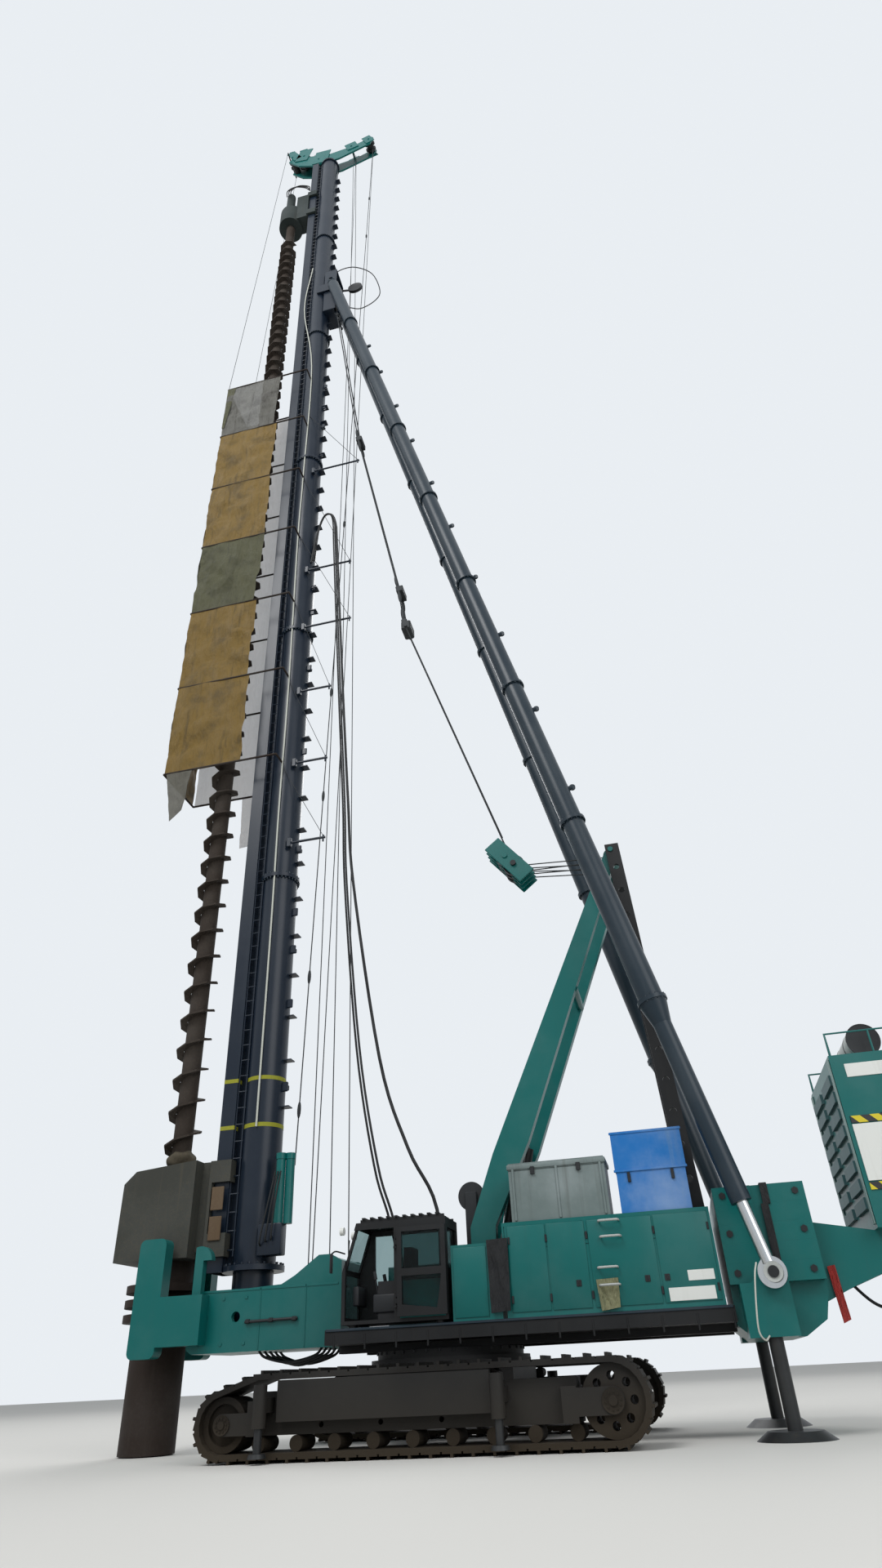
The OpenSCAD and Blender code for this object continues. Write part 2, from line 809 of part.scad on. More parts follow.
// Leader tube in sections, with a pair of flange rings at each joint
ring_zs = concat([foot_z], [for (i = [0:section_n]) section_z0 + i * section_l - (i == section_n ? flange_t : flange_t / 2)]);
step_n = 47;
module leader_tube() {
    color(slate)
        difference() {
            union() {
                translate([tube_x, 0, foot_z])
                    cylinder(d = tube_d, h = leader_top - foot_z);
                for (z = ring_zs)
                    translate([tube_x, 0, z])
                        cylinder(d = flange_d, h = flange_t);
                // Bracket and pin for the heads of the stays
                block([tube_x, -270, stay_top_z - 150], [stay_top[0] + 60, 270, stay_top_z + 150]);
                cross_bar(stay_top[0], stay_top_z, -stay_top_y - 60, stay_top_y + 60, stay_pin_d);
                // Foot drum with its trunnions
                translate([tube_x, 0, 1060])
                    cylinder(d = tube_d - 30, h = foot_z - 1060);
                cross_bar(foot_pin[0], foot_pin[1], -well_y - 30, well_y + 30, foot_pin_d);
                // Steps up the back
                for (i = [0:step_n])
                    block([tube_x + tube_d / 2 - 12, -60, 2600 + i * 530], [tube_x + tube_d / 2 + 90, 60, 2612 + i * 530]);
            }
            translate([tube_x, 0, foot_z + flange_t])
                cylinder(d = tube_d - 2 * tube_wall, h = leader_top - foot_z - flange_t - 30);
        }
}

// Rail box on the front of the leader, joined to the tube by a web
module leader_rails() {
    color(slate) {
        difference() {
            union() {
                block([rail_x, -rail_w / 2, foot_z], [rail_x + rail_d, rail_w / 2, leader_top]);
                block([rail_x + rail_d - 1, -web_w / 2, foot_z], [tube_x - tube_d / 2 + 20, web_w / 2, leader_top]);
            }
            block([rail_x + 12, -rail_w / 2 + 12, foot_z - 1], [rail_x + rail_d - 12, rail_w / 2 - 12, leader_top - 12]);
            translate([tube_x, 0, foot_z - 1])
                cylinder(d = tube_d + 2 * fit_gap, h = leader_top - foot_z + 2);
            for (z = ring_zs)
                translate([tube_x, 0, z - fit_gap])
                    cylinder(d = flange_d + 2 * fit_gap, h = flange_t + 2 * fit_gap);
        }
    }
}

module cathead() {
    color(teal)
        for (side = [LEFT, RIGHT]) {
            y = side * 150;
            side_plate(y - 20, y + 20)
                polygon([[-220, 29350], [-120, 29500], [400, 29300], [1000, 29050], [1700, 29100], [2250, 29350],
                    [2300, 29250], [2200, 28950], [1300, leader_top], [rail_x + 30, leader_top], [100, 28900]]);
        }
}

module cathead_sheaves() {
    color(black)
        for (p = [[-60, 29330], [2160, 29200], [700, 29000]])
            cross_bar(p[0], p[1], -130 + fit_gap, 130 - fit_gap, 180);
}

guard_rod_d = 30;
// Frames of the spoil guard: a hoop at each joint between panels
module guard_frame() {
    color([0.2, 0.13, 0.1])
        for (i = [0:guard_n]) {
            z = guard_z + i * guard_h;
            r = guard_half + 10;
            for (side = [LEFT, RIGHT]) {
                bar([tube_x, side * (tube_d / 2 + fit_gap), z], [tube_x, side * r, z], guard_rod_d);
                bar([tube_x, side * r, z], [-guard_front, side * r, z], guard_rod_d);
            }
            bar([-guard_front, -r, z], [-guard_front, r, z], guard_rod_d);
        }
}

sheet_t = 10;
sheet_end = guard_rod_d / 2 + fit_gap;
module guard_front_sheet() {
    color(ochre)
        for (i = [0:guard_n - 1])
            block([-guard_front - sheet_t / 2, -guard_half + 20, guard_z + i * guard_h + sheet_end],
                [-guard_front + sheet_t / 2, guard_half - 20, guard_z + (i + 1) * guard_h - sheet_end]);
}

module guard_side_sheets() {
    color(ochre)
        for (i = [0:guard_n - 1])
            for (side = [LEFT, RIGHT])
                block([-guard_front + 30, side * (guard_half + 10) - sheet_t / 2, guard_z + i * guard_h + sheet_end],
                    [400, side * (guard_half + 10) + sheet_t / 2, guard_z + (i + 1) * guard_h - sheet_end]);
}

// Stay geometry: from the top pin along the stay
stay_l = norm(stay_foot - stay_top);
stay_lean = acos((stay_top[2] - stay_foot[2]) / stay_l);
stay_turn = atan2(stay_foot[1] - stay_top[1], stay_foot[0] - stay_top[0]);
// Lengths along the stay from its top pin
stay_cone = stay_l - 2450;
stay_tube_end = stay_l - 550;
stay_ring_n = 8;
stay_rod_d = 110;
stay_eye_gap = 8;

module along_stay(side) {
    mirror([0, side == LEFT ? 1 : 0, 0])
        translate(stay_top)
            rotate([0, 180 - stay_lean, stay_turn])
                children();
}

module stay_tube(side) {
    color(slate)
        difference() {
            along_stay(side)
                difference() {
                    union() {
                        translate([0, 0, 200])
                            cylinder(d = stay_d, h = stay_cone - 200);
                        translate([0, 0, 60])
                            cylinder(d1 = 140, d2 = stay_d, h = 141);
                        translate([0, 0, stay_cone - 1])
                            cylinder(d1 = stay_d + 40, d2 = 180, h = 250);
                        translate([0, 0, stay_cone])
                            cylinder(d = 180, h = stay_tube_end - stay_cone);
                        for (i = [1:stay_ring_n])
                            translate([0, 0, stay_cone * i / stay_ring_n - 20])
                                cylinder(d = stay_d + 50, h = 40);
                        sphere(d = 200);
                    }
                    translate([0, 0, 300])
                        cylinder(d = stay_d - 24, h = stay_cone - 320);
                    translate([0, 0, stay_cone + 200])
                        cylinder(d = stay_rod_d + 2 * fit_gap, h = stay_tube_end - stay_cone);
                }
            cross_bar(stay_top[0], stay_top_z, -1000, 1000, stay_pin_d + 2 * fit_gap);
            // Flat inner side of the eye
            block([stay_top[0] - 200, -275, stay_top_z - 200], [stay_top[0] + 200, 275, stay_top_z + 200]);
        }
}

module stay_rod(side) {
    color(chrome)
        difference() {
            along_stay(side)
                union() {
                    translate([0, 0, stay_l - 1250])
                        cylinder(d = stay_rod_d, h = 1180);
                    translate([0, 0, stay_l])
                        rotate([90, 0, 0])
                            translate([0, 0, -34])
                                cylinder(d = 230, h = 68);
                }
            mirror([0, side == LEFT ? 1 : 0, 0])
                cross_bar(stay_foot[0], stay_foot[2], stay_foot[1] - 200, stay_foot[1] + 200, stay_pin_d + 2 * stay_eye_gap);
        }
}

module stay_tube_left() {
    stay_tube(LEFT);
}

module stay_tube_right() {
    stay_tube(RIGHT);
}

module stay_rod_left() {
    stay_rod(LEFT);
}

module stay_rod_right() {
    stay_rod(RIGHT);
}

// Claws that hold a drive on the rail box, with wear pads that bear on the rail
claw_gap = 8;
claw_h = 220;
module claws(z, h) {
    back = rail_x + rail_d;
    for (side = [LEFT, RIGHT])
        mirror([0, side == LEFT ? 1 : 0, 0])
            for (z0 = [z, z + h - claw_h]) {
                y = rail_w / 2 + claw_gap;
                block([rail_x - 40, y, z0], [back + 34, y + 50, z0 + claw_h]);
                block([back + claw_gap, web_w / 2 + 30, z0], [back + 34, y + 1, z0 + claw_h]);
                block([rail_x + 40, rail_w / 2 + fit_gap, z0 + 40], [back - 40, y + 1, z0 + claw_h - 40]);
                block([back + fit_gap, web_w / 2 + 40, z0 + 40], [back + claw_gap + 1, rail_w / 2 - 10, z0 + claw_h - 40]);
            }
}

module top_drive() {
    color([0.3, 0.35, 0.34])
        difference() {
            union() {
                translate([0, 0, top_drive_z])
                    cylinder(r = 300, h = 700);
                translate([0, 0, top_drive_z + 699])
                    cylinder(r1 = 300, r2 = 200, h = 120);
                for (s = [LEFT, RIGHT])
                    translate([0, s * 150, top_drive_z + 700])
                        cylinder(d = 220, h = 800);
                block([200, -200, top_drive_z + 60], [rail_x - 8, 200, top_drive_z + 1300]);
                block([rail_x - 40, -rail_w / 2 - 58, top_drive_z + 60], [rail_x - 8, rail_w / 2 + 58, top_drive_z + 1300]);
                claws(top_drive_z + 60, 1240);
            }
            translate([0, 0, top_drive_z - 1])
                cylinder(d = stem_d + 2 * fit_gap, h = 402);
        }
}

auger_z0 = 30;
auger_z1 = top_drive_z - 60;
// Helical flight round the stem
flight_steps = 8;
module flight(z0, turns) {
    n = turns * flight_steps;
    r0 = (stem_d / 2 + fit_gap) / cos(180 / flight_steps);
    r1 = auger_d / 2;
    t = 22;
    points = [for (i = [0:n]) let (a = i * 360 / flight_steps, z = z0 + i * auger_pitch / flight_steps)
        for (q = [[r0, 0], [r1, 0], [r1, t], [r0, t]]) [q[0] * cos(a), q[0] * sin(a), z + q[1]]];
    faces = concat([[3, 2, 1, 0]], [for (i = [0:n - 1]) for (k = [0:3]) let (j = (k + 1) % 4)
        [4 * i + j, 4 * i + 4 + j, 4 * i + 4 + k, 4 * i + k]], [[4 * n, 4 * n + 1, 4 * n + 2, 4 * n + 3]]);
    polyhedron(points = points, faces = faces, convexity = 10);
}

// Where each run of flights starts, and its turns: the tip in the casing, and above the lower drive
flight_z0 = drive_z + drive_h - auger_pitch;
flight_runs = [[auger_z0 + 20, 1.5], [flight_z0, floor((auger_z1 - 700 - flight_z0) / auger_pitch)]];
module auger_stem() {
    color([0.36, 0.25, 0.18])
        translate([0, 0, auger_z0])
            cylinder(d = stem_d, h = auger_z1 + 300 - auger_z0);
}

module auger_flights() {
    color([0.36, 0.25, 0.18])
        for (run = flight_runs)
            flight(run[0], run[1]);
}

module casing_drive() {
    color([0.42, 0.41, 0.38])
        difference() {
            union() {
                block([-440, -370, drive_z], [400, 370, drive_z + drive_h - 180]);
                side_plate(-370, 370)
                    polygon([[-440, drive_z + drive_h - 181], [400, drive_z + drive_h - 181], [400, drive_z + drive_h], [-310, drive_z + drive_h - 60]]);
                block([399, -200, drive_z + 60], [rail_x - 8, 200, drive_z + drive_h]);
                block([rail_x - 40, -rail_w / 2 - 58, drive_z], [rail_x - 8, rail_w / 2 + 58, drive_z + drive_h]);
                claws(drive_z, drive_h);
            }
            translate([0, 0, drive_z - 1])
                cylinder(d = casing_d - 2 * casing_wall, h = drive_h + 2);
        }
}

module casing() {
    color(mud)
        difference() {
            union() {
                translate([0, 0, casing_z])
                    cylinder(d = casing_d, h = drive_z - fit_gap - casing_z);
                for (z = [casing_top, casing_top + 130, casing_top + 260])
                    translate([0, 0, z])
                        cylinder(d = 780, h = 70);
            }
            translate([0, 0, casing_z - 1])
                cylinder(d = casing_d - 2 * casing_wall, h = drive_z + 2);
        }
}

place() carbody();
place() track_frames();
place() track_left();
place() track_right();
place() track_wheels();
place() jack_front_left();
place() jack_front_right();
place() jack_back_left();
place() jack_back_right();
place() slew_deck();
place() front_bracket();
place() casing_posts();
place() cab_shell();
place() cab_glass();
place() cab_seat();
place() cab_roof_guard();
place() cab_door();
place() door_glass();
place() engine_housing();
place() front_tank();
place() engine_block();
place() roof_chest();
place() blue_chests();
place() counterweights();
place() rear_body();
place() pack_arm();
place() power_pack();
place() pack_louvres();
place() pack_silencer();
place() gantry_legs();
place() gantry_struts();
place() gantry_head();
place() gantry_cylinders();
place() rear_jack_left();
place() rear_jack_right();
place() leader_tube();
place() leader_rails();
place() cathead();
place() cathead_sheaves();
place() guard_frame();
place() guard_front_sheet();
place() guard_side_sheets();
place() stay_tube_left();
place() stay_tube_right();
place() stay_rod_left();
place() stay_rod_right();
place() top_drive();
place() auger_stem();
place() auger_flights();
place() casing_drive();
place() casing();
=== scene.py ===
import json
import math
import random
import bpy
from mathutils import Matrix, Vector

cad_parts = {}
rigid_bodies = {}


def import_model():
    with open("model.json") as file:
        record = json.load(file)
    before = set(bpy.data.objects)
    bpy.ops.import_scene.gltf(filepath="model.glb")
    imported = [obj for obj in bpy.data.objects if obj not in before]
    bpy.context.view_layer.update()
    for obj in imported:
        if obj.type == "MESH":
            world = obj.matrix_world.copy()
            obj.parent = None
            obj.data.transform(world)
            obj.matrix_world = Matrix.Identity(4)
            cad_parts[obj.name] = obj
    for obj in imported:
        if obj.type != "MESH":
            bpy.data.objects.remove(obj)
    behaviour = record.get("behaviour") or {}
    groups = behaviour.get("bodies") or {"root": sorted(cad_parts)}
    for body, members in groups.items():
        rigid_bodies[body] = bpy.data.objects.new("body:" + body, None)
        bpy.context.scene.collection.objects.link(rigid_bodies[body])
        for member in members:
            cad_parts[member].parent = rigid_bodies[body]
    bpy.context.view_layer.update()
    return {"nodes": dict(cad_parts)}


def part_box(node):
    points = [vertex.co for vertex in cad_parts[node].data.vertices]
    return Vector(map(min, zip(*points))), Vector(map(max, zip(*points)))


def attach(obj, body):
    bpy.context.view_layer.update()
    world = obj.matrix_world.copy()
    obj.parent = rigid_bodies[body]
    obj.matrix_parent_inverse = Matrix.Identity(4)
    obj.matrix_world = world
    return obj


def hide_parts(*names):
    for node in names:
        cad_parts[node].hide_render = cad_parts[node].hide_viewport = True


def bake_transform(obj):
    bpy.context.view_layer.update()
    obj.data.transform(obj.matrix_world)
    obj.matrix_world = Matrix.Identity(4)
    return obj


bl_info = {
    "name": "Crawler piling rig",
    "version": (1, 0, 0),
    "blender": (4, 5, 0),
    "location": "View3D > Sidebar > Piling rig",
    "description": "Dresses the frame of a crawler drilling and pile driving rig",
    "category": "Object",
}

from functools import partial

import bpy
from mathutils import Matrix, Vector

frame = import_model()
NODES = frame["nodes"]

# The drill axis, from which lengths along X are measured
DRILL_X = (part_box("auger_stem")[0].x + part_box("auger_stem")[1].x) / 2
# The axis of the leader's tube, in mm from the drill axis
TUBE_X = 990
ACROSS = (0, 1, 0)
UP = (0, 0, 1)


def at(x, y, z):
    """A point given in millimetres from the drill axis, in the frame's metres."""
    return Vector((DRILL_X + x / 1000, y / 1000, z / 1000))


# Shader helpers


class Graph:
    """Adds nodes to a shader tree. Each input is a socket or a plain value."""

    def __init__(self, tree):
        self.tree = tree

    def feed(self, node, inputs):
        for key, value in inputs.items():
            if isinstance(value, bpy.types.NodeSocket):
                self.tree.links.new(value, node.inputs[key])
            else:
                node.inputs[key].default_value = value

    def add(self, kind, inputs=None, **settings):
        """The outputs of a new node."""
        node = self.tree.nodes.new("ShaderNode" + kind)
        for key, value in settings.items():
            setattr(node, key, value)
        self.feed(node, inputs or {})
        return node.outputs

    def maths(self, operation, a, b=0.0, clamp=False):
        return self.add("Math", {0: a, 1: b}, operation=operation, use_clamp=clamp)[0]

    def plus(self, a, b, clamp=False):
        return self.maths("ADD", a, b, clamp)

    def minus(self, a, b, clamp=False):
        return self.maths("SUBTRACT", a, b, clamp)

    def times(self, a, b, clamp=False):
        return self.maths("MULTIPLY", a, b, clamp)

    def most(self, a, b, clamp=False):
        return self.maths("MAXIMUM", a, b, clamp)

    def mix(self, factor, a, b):
        """A colour between two others."""
        return self.add("Mix", {0: factor, 6: a, 7: b}, data_type="RGBA")[2]

    def ramp(self, value, low, high):
        """Rises from 0 to 1 while value goes from low to high."""
        limits = {"Value": value, "From Min": low, "From Max": high}
        return self.add("MapRange", limits, interpolation_type="SMOOTHSTEP")["Result"]

    def noise(self, vector, scale, detail, roughness):
        return self.add("TexNoise", {"Vector": vector, "Scale": scale, "Detail": detail,
                                     "Roughness": roughness})["Fac"]

    def stretched(self, vector, scale, turn=(0, 0, 0)):
        """Coordinates with each axis scaled, for runs and folds."""
        return self.add("Mapping", {"Vector": vector, "Rotation": turn, "Scale": scale})["Vector"]

    def place(self):
        return self.add("TexCoord")["Object"]

    def group(self, kind, values):
        return self.add("Group", values, node_tree=GROUPS[kind])

    def relief(self, height, strength, distance):
        return self.add("Bump", {"Strength": strength, "Distance": distance,
                                 "Height": height})["Normal"]


def new_group(name, inputs, outputs):
    """A new shader group: its graph, the values that it is given and its output node."""
    tree = bpy.data.node_groups.new(name, "ShaderNodeTree")
    number, colour = "NodeSocketFloat", "NodeSocketColor"
    for key, value in inputs.items():
        kind = colour if isinstance(value, tuple) else number
        tree.interface.new_socket(key, in_out="INPUT", socket_type=kind).default_value = value
    for key in outputs:
        kind = colour if key == "Color" else number
        tree.interface.new_socket(key, in_out="OUTPUT", socket_type=kind)
    given = tree.nodes.new("NodeGroupInput")
    return Graph(tree), given.outputs, tree.nodes.new("NodeGroupOutput")


def weather_group():
    """Fading, dust, rain runs, chips and mud near the ground over a base colour."""
    graph, given, out = new_group("weathered_surface", {
        "Base": (0.5, 0.5, 0.5, 1), "Dirt": (0.2, 0.16, 0.11, 1), "Under": (0.1, 0.06, 0.04, 1),
        "Fade": 0.1, "Dirt amount": 0.4, "Streak amount": 0.3, "Chip amount": 0.1,
        "Mud height": 0.0, "Roughness": 0.5}, ("Color", "Roughness", "Height"))
    place = graph.place()
    cloud = graph.noise(place, 1.1, 8.0, 0.6)
    fine = graph.noise(place, 34.0, 6.0, 0.7)
    grain = graph.noise(place, 160.0, 3.0, 0.6)
    run = graph.noise(graph.stretched(place, (14.0, 14.0, 0.6)), 1.0, 6.0, 0.65)
    pale = graph.mix(given["Fade"], given["Base"], (0.62, 0.68, 0.7, 1))
    faded = graph.mix(graph.ramp(cloud, 0.38, 0.68), given["Base"], pale)
    edge = graph.minus(0.92, given["Dirt amount"])
    speckle = graph.plus(graph.times(cloud, 0.45), graph.times(fine, 0.6))
    dirt = graph.ramp(speckle, edge, graph.plus(edge, 0.35))
    streak = graph.times(graph.ramp(run, 0.5, 0.75), given["Streak amount"])
    level = graph.minus(graph.add("SeparateXYZ", {0: place})["Z"], graph.times(cloud, 0.5))
    low = graph.minus(1.0, graph.ramp(level, -0.25, given["Mud height"]), clamp=True)
    mud = graph.times(low, graph.maths("GREATER_THAN", given["Mud height"], 0.001))
    marks = graph.most(graph.times(dirt, 0.6), streak)
    cover = graph.most(marks, graph.times(mud, 0.85), clamp=True)
    chip_edge = graph.minus(0.84, graph.times(given["Chip amount"], 0.3))
    chips = graph.ramp(graph.noise(place, 18.0, 9.0, 0.75), chip_edge, graph.plus(chip_edge, 0.02))
    painted = graph.mix(chips, faded, given["Under"])
    rough = graph.plus(given["Roughness"], graph.times(cover, 0.3), clamp=True)
    rough = graph.plus(rough, graph.times(graph.minus(grain, 0.5), 0.12), clamp=True)
    crust = graph.times(graph.times(fine, cover), 0.6)
    graph.feed(out, {"Color": graph.mix(cover, painted, given["Dirt"]), "Roughness": rough,
                     "Height": graph.minus(crust, graph.times(chips, 0.5))})
    return graph.tree


def fold_group():
    """Creases and stains of a tarpaulin that hangs in the weather, with a painted highlight on the
    creases.
    """
    graph, given, out = new_group("tarpaulin_surface", {
        "Base": (0.6, 0.45, 0.1, 1), "Light": (0.7, 0.6, 0.3, 1), "Stain": (0.2, 0.16, 0.08, 1),
        "Stain amount": 0.4}, ("Color", "Height"))
    place = graph.place()
    slanting = graph.stretched(place, (7.0, 7.0, 1.9), (0.2, 0.45, 0.0))
    crease = graph.noise(slanting, 1.0, 8.0, 0.62)
    cloud = graph.noise(place, 2.2, 7.0, 0.65)
    run = graph.noise(graph.stretched(place, (11.0, 11.0, 0.8)), 1.0, 5.0, 0.6)
    weave = graph.noise(place, 420.0, 1.0, 0.5)
    # Painted highlight: the crease ridges are mixed towards a lighter copy of the cloth colour
    lit = graph.times(graph.ramp(crease, 0.4, 0.75), 0.6)
    cloth = graph.mix(lit, given["Base"], given["Light"])
    soiled = graph.most(graph.ramp(cloud, 0.46, 0.72), graph.ramp(run, 0.52, 0.74))
    stain = graph.times(soiled, given["Stain amount"], clamp=True)
    graph.feed(out, {"Color": graph.mix(stain, cloth, given["Stain"]),
                     "Height": graph.plus(graph.times(crease, 1.4), graph.times(weave, 0.06))})
    return graph.tree


def stripe_group():
    """Slanting bands of two colours, across X and Z."""
    graph, given, out = new_group("slanting_stripes", {
        "First": (0.6, 0.5, 0.0, 1), "Second": (0.01, 0.01, 0.01, 1), "Pitch": 0.1}, ("Color",))
    split = graph.add("SeparateXYZ", {0: graph.place()})
    bands = graph.maths("DIVIDE", graph.plus(split["X"], split["Z"]), given["Pitch"])
    mask = graph.maths("GREATER_THAN", graph.maths("FRACT", bands), 0.5)
    graph.feed(out, {"Color": graph.mix(mask, given["First"], given["Second"])})
    return graph.tree


# Materials

GROUPS = {}
FINISH = {}


def rgb(hex_text):
    """Linear colour from a hex value as it looks on a screen."""
    values = [int(hex_text[i:i + 2], 16) / 255 for i in (0, 2, 4)]
    linear = [v / 12.92 if v <= 0.04045 else ((v + 0.055) / 1.055) ** 2.4 for v in values]
    return (*linear, 1.0)


def new_material(name):
    material = bpy.data.materials.new(name)
    material.use_nodes = True
    return material, Graph(material.node_tree), material.node_tree.nodes["Principled BSDF"]


def weathered(name, base, dirt, soil, rough, under="3a2b22", fade=0.02, streak=0.15, chips=0.1,
              mud=0.0, metal=0.0, bump=0.15):
    """Paint or metal that has stood outside. The colours are hex, mud is how high it reaches."""
    material, graph, shader = new_material(name)
    skin = graph.group("weather", {
        "Base": rgb(base), "Dirt": rgb(dirt), "Under": rgb(under), "Fade": fade,
        "Dirt amount": soil, "Streak amount": streak, "Chip amount": chips, "Mud height": mud,
        "Roughness": rough})
    graph.feed(shader, {
        "Base Color": skin["Color"], "Roughness": skin["Roughness"], "Metallic": metal,
        "Specular IOR Level": 0.28, "Normal": graph.relief(skin["Height"], bump, 0.01)})
    return material


def tarpaulin(name, base, stain, amount, alpha=1.0):
    """Cloth or sheeting, with a painted highlight that makes its creases lighter."""
    material, graph, shader = new_material(name)
    colour = rgb(base)
    # The lighter colour of the painted highlight on the creases
    crease_highlight = tuple(0.88 * v + 0.12 * max(colour[:3]) + 0.02 for v in colour[:3]) + (1.0,)
    skin = graph.group("fold", {"Base": colour, "Light": crease_highlight, "Stain": rgb(stain),
                                "Stain amount": amount})
    graph.feed(shader, {"Base Color": skin["Color"], "Roughness": 0.62, "Alpha": alpha,
                        "Normal": graph.relief(skin["Height"], 1.0, 0.16)})
    return material


def hazard_stripes():
    material, graph, shader = new_material("hazard_stripes")
    bands = graph.group("stripe", {"First": rgb("c9b81f"), "Second": rgb("17181a"), "Pitch": 0.16})
    graph.feed(shader, {"Base Color": bands["Color"], "Roughness": 0.45})
    return material


def window_glass():
    material, graph, shader = new_material("window_glass")
    smear = graph.ramp(graph.noise(graph.place(), 5.0, 8.0, 0.7), 0.45, 0.75)
    graph.feed(shader, {"Base Color": rgb("8fa5a5"), "Transmission Weight": 1.0, "IOR": 1.2,
                        "Roughness": graph.plus(graph.times(smear, 0.25), 0.03)})
    return material


def make_finishes():
    GROUPS.update(weather=weather_group(), fold=fold_group(), stripe=stripe_group())
    FINISH.update(
        teal=weathered("teal_paint", "005c59", "2e4743", 0.16, 0.34, under="102a2d", fade=0.03,
                       streak=0.1, chips=0.03),
        slate=weathered("slate_paint", "0e1a28", "2a3138", 0.16, 0.32, under="2b221d", fade=0.01,
                        streak=0.14, chips=0.03),
        stay=weathered("stay_paint", "1a2832", "39444a", 0.16, 0.34, under="2b221d", streak=0.1,
                       chips=0.02),
        black=weathered("black_paint", "0b0c0e", "2c2822", 0.28, 0.5, fade=0.01, mud=0.6),
        frame_steel=weathered("dark_steel", "1b1d20", "3f3a34", 0.3, 0.5, fade=0.015),
        track=weathered("track_steel", "141210", "3b3328", 0.42, 0.62, under="4c3a29", streak=0.1,
                        chips=0.25, mud=0.4, metal=0.3, bump=0.4),
        rust=weathered("rusty_steel", "2a211c", "46403a", 0.45, 0.75, under="5b3822", streak=0.25,
                       chips=0.5, metal=0.2, bump=0.5),
        auger=weathered("auger_steel", "2e2620", "4d463e", 0.5, 0.8, under="33261e", streak=0.2,
                        chips=0.5, metal=0.1, bump=0.6),
        drive=weathered("drive_casing", "33342f", "514c40", 0.45, 0.65, under="2c3a38",
                        streak=0.45, chips=0.35, bump=0.4),
        top_drive=weathered("top_drive_paint", "1d2726", "3f3d36", 0.35, 0.6, streak=0.3,
                            chips=0.2, bump=0.3),
        mud=weathered("caked_mud", "4d473b", "6a6252", 0.5, 0.9, under="3a3228", bump=0.9),
        pad=weathered("wear_pad", "55432f", "6e5f4a", 0.45, 0.7, streak=0.3),
        pale=weathered("pale_paint", "a9adaa", "6f6a5c", 0.35, 0.45, streak=0.3),
        white=weathered("white_plate", "d6d8d4", "8f8b7e", 0.22, 0.4, streak=0.2),
        louvre=weathered("louvre_paint", "35575a", "5a5b50", 0.3, 0.5, streak=0.2),
        door=weathered("pack_door_paint", "7d9390", "59605a", 0.35, 0.5, streak=0.35),
        chest=weathered("chest_paint", "63706f", "4a4d48", 0.35, 0.5, fade=0.2, streak=0.4,
                        chips=0.15),
        blue=weathered("blue_paint", "1668ae", "6b8594", 0.3, 0.5, fade=0.25, streak=0.3,
                       chips=0.2),
        yellow=weathered("yellow_mark", "8a8a20", "4a4a30", 0.4, 0.6),
        chrome=weathered("polished_rod", "b9bcbe", "8b8474", 0.15, 0.2, chips=0.0, metal=1.0,
                         bump=0.03),
        jack=weathered("jack_steel", "2a2b2c", "4a4236", 0.35, 0.45, streak=0.3, metal=0.4),
        rope=weathered("wire_rope", "2c2f31", "4b4944", 0.35, 0.6, streak=0.0, metal=0.4),
        pale_rope=weathered("pale_hose", "b9bbb2", "7f7c70", 0.3, 0.6, streak=0.0),
        rubber=weathered("black_hose", "0f1012", "3d3a35", 0.25, 0.55, streak=0.0),
        seat=weathered("seat_cover", "1b1c1e", "4a4740", 0.2, 0.7),
        engine=weathered("engine_casting", "4a4d4e", "3a342c", 0.4, 0.6),
        sheet_yellow=tarpaulin("tarpaulin_yellow", "8a6e2c", "3f351b", 0.6, 0.92),
        sheet_green=tarpaulin("tarpaulin_green", "5a5a3c", "33331f", 0.6, 0.93),
        sheet_clear=tarpaulin("sheeting_clear", "7b7a73", "3f3a34", 0.7, 0.72),
        sheet_torn=tarpaulin("sheeting_torn", "77756a", "4a463e", 0.6, 0.8),
        sheet_far=tarpaulin("sheeting_pink", "e8dcd2", "b09c8c", 0.25, 0.42),
        sheet_black=tarpaulin("rubber_curtain", "0f1216", "1c1c1c", 0.3),
        sheet_red=tarpaulin("red_tape", "b8322a", "6d221c", 0.2),
        sheet_gloves=tarpaulin("work_cloth", "9a9a72", "2d4a35", 0.6),
        hazard=hazard_stripes(),
        glass=window_glass(),
    )


# The CAD nodes of each finish
CAD_FINISH = {
    "teal": "front_bracket casing_posts engine_housing front_tank counterweights rear_body "
            "pack_arm power_pack gantry_legs gantry_head cathead",
    "slate": "leader_tube leader_rails",
    "stay": "stay_tube_left stay_tube_right",
    "black": "carbody track_frames slew_deck cab_shell cab_roof_guard cab_door gantry_struts",
    "frame_steel": "cathead_sheaves",
    "track": "track_left track_right track_wheels",
    "rust": "guard_frame casing",
    "auger": "auger_stem auger_flights",
    "drive": "casing_drive",
    "top_drive": "top_drive",
    "pale": "pack_silencer",
    "louvre": "pack_louvres",
    "chest": "roof_chest",
    "blue": "blue_chests",
    "chrome": "stay_rod_left stay_rod_right gantry_cylinders",
    "jack": "jack_front_left jack_front_right jack_back_left jack_back_right rear_jack_left "
            "rear_jack_right",
    "seat": "cab_seat",
    "engine": "engine_block",
    "sheet_yellow": "guard_front_sheet guard_side_sheets",
    "glass": "cab_glass door_glass",
}


# Modelling helpers


def deselect():
    if bpy.context.object and bpy.context.object.mode != "OBJECT":
        bpy.ops.object.mode_set(mode="OBJECT")
    bpy.ops.object.select_all(action="DESELECT")


def select(pieces):
    deselect()
    for piece in pieces:
        piece.select_set(True)
    bpy.context.view_layer.objects.active = pieces[0]


def added(operator, **settings):
    """The shape that an operator adds."""
    deselect()
    operator(**settings)
    return bpy.context.object


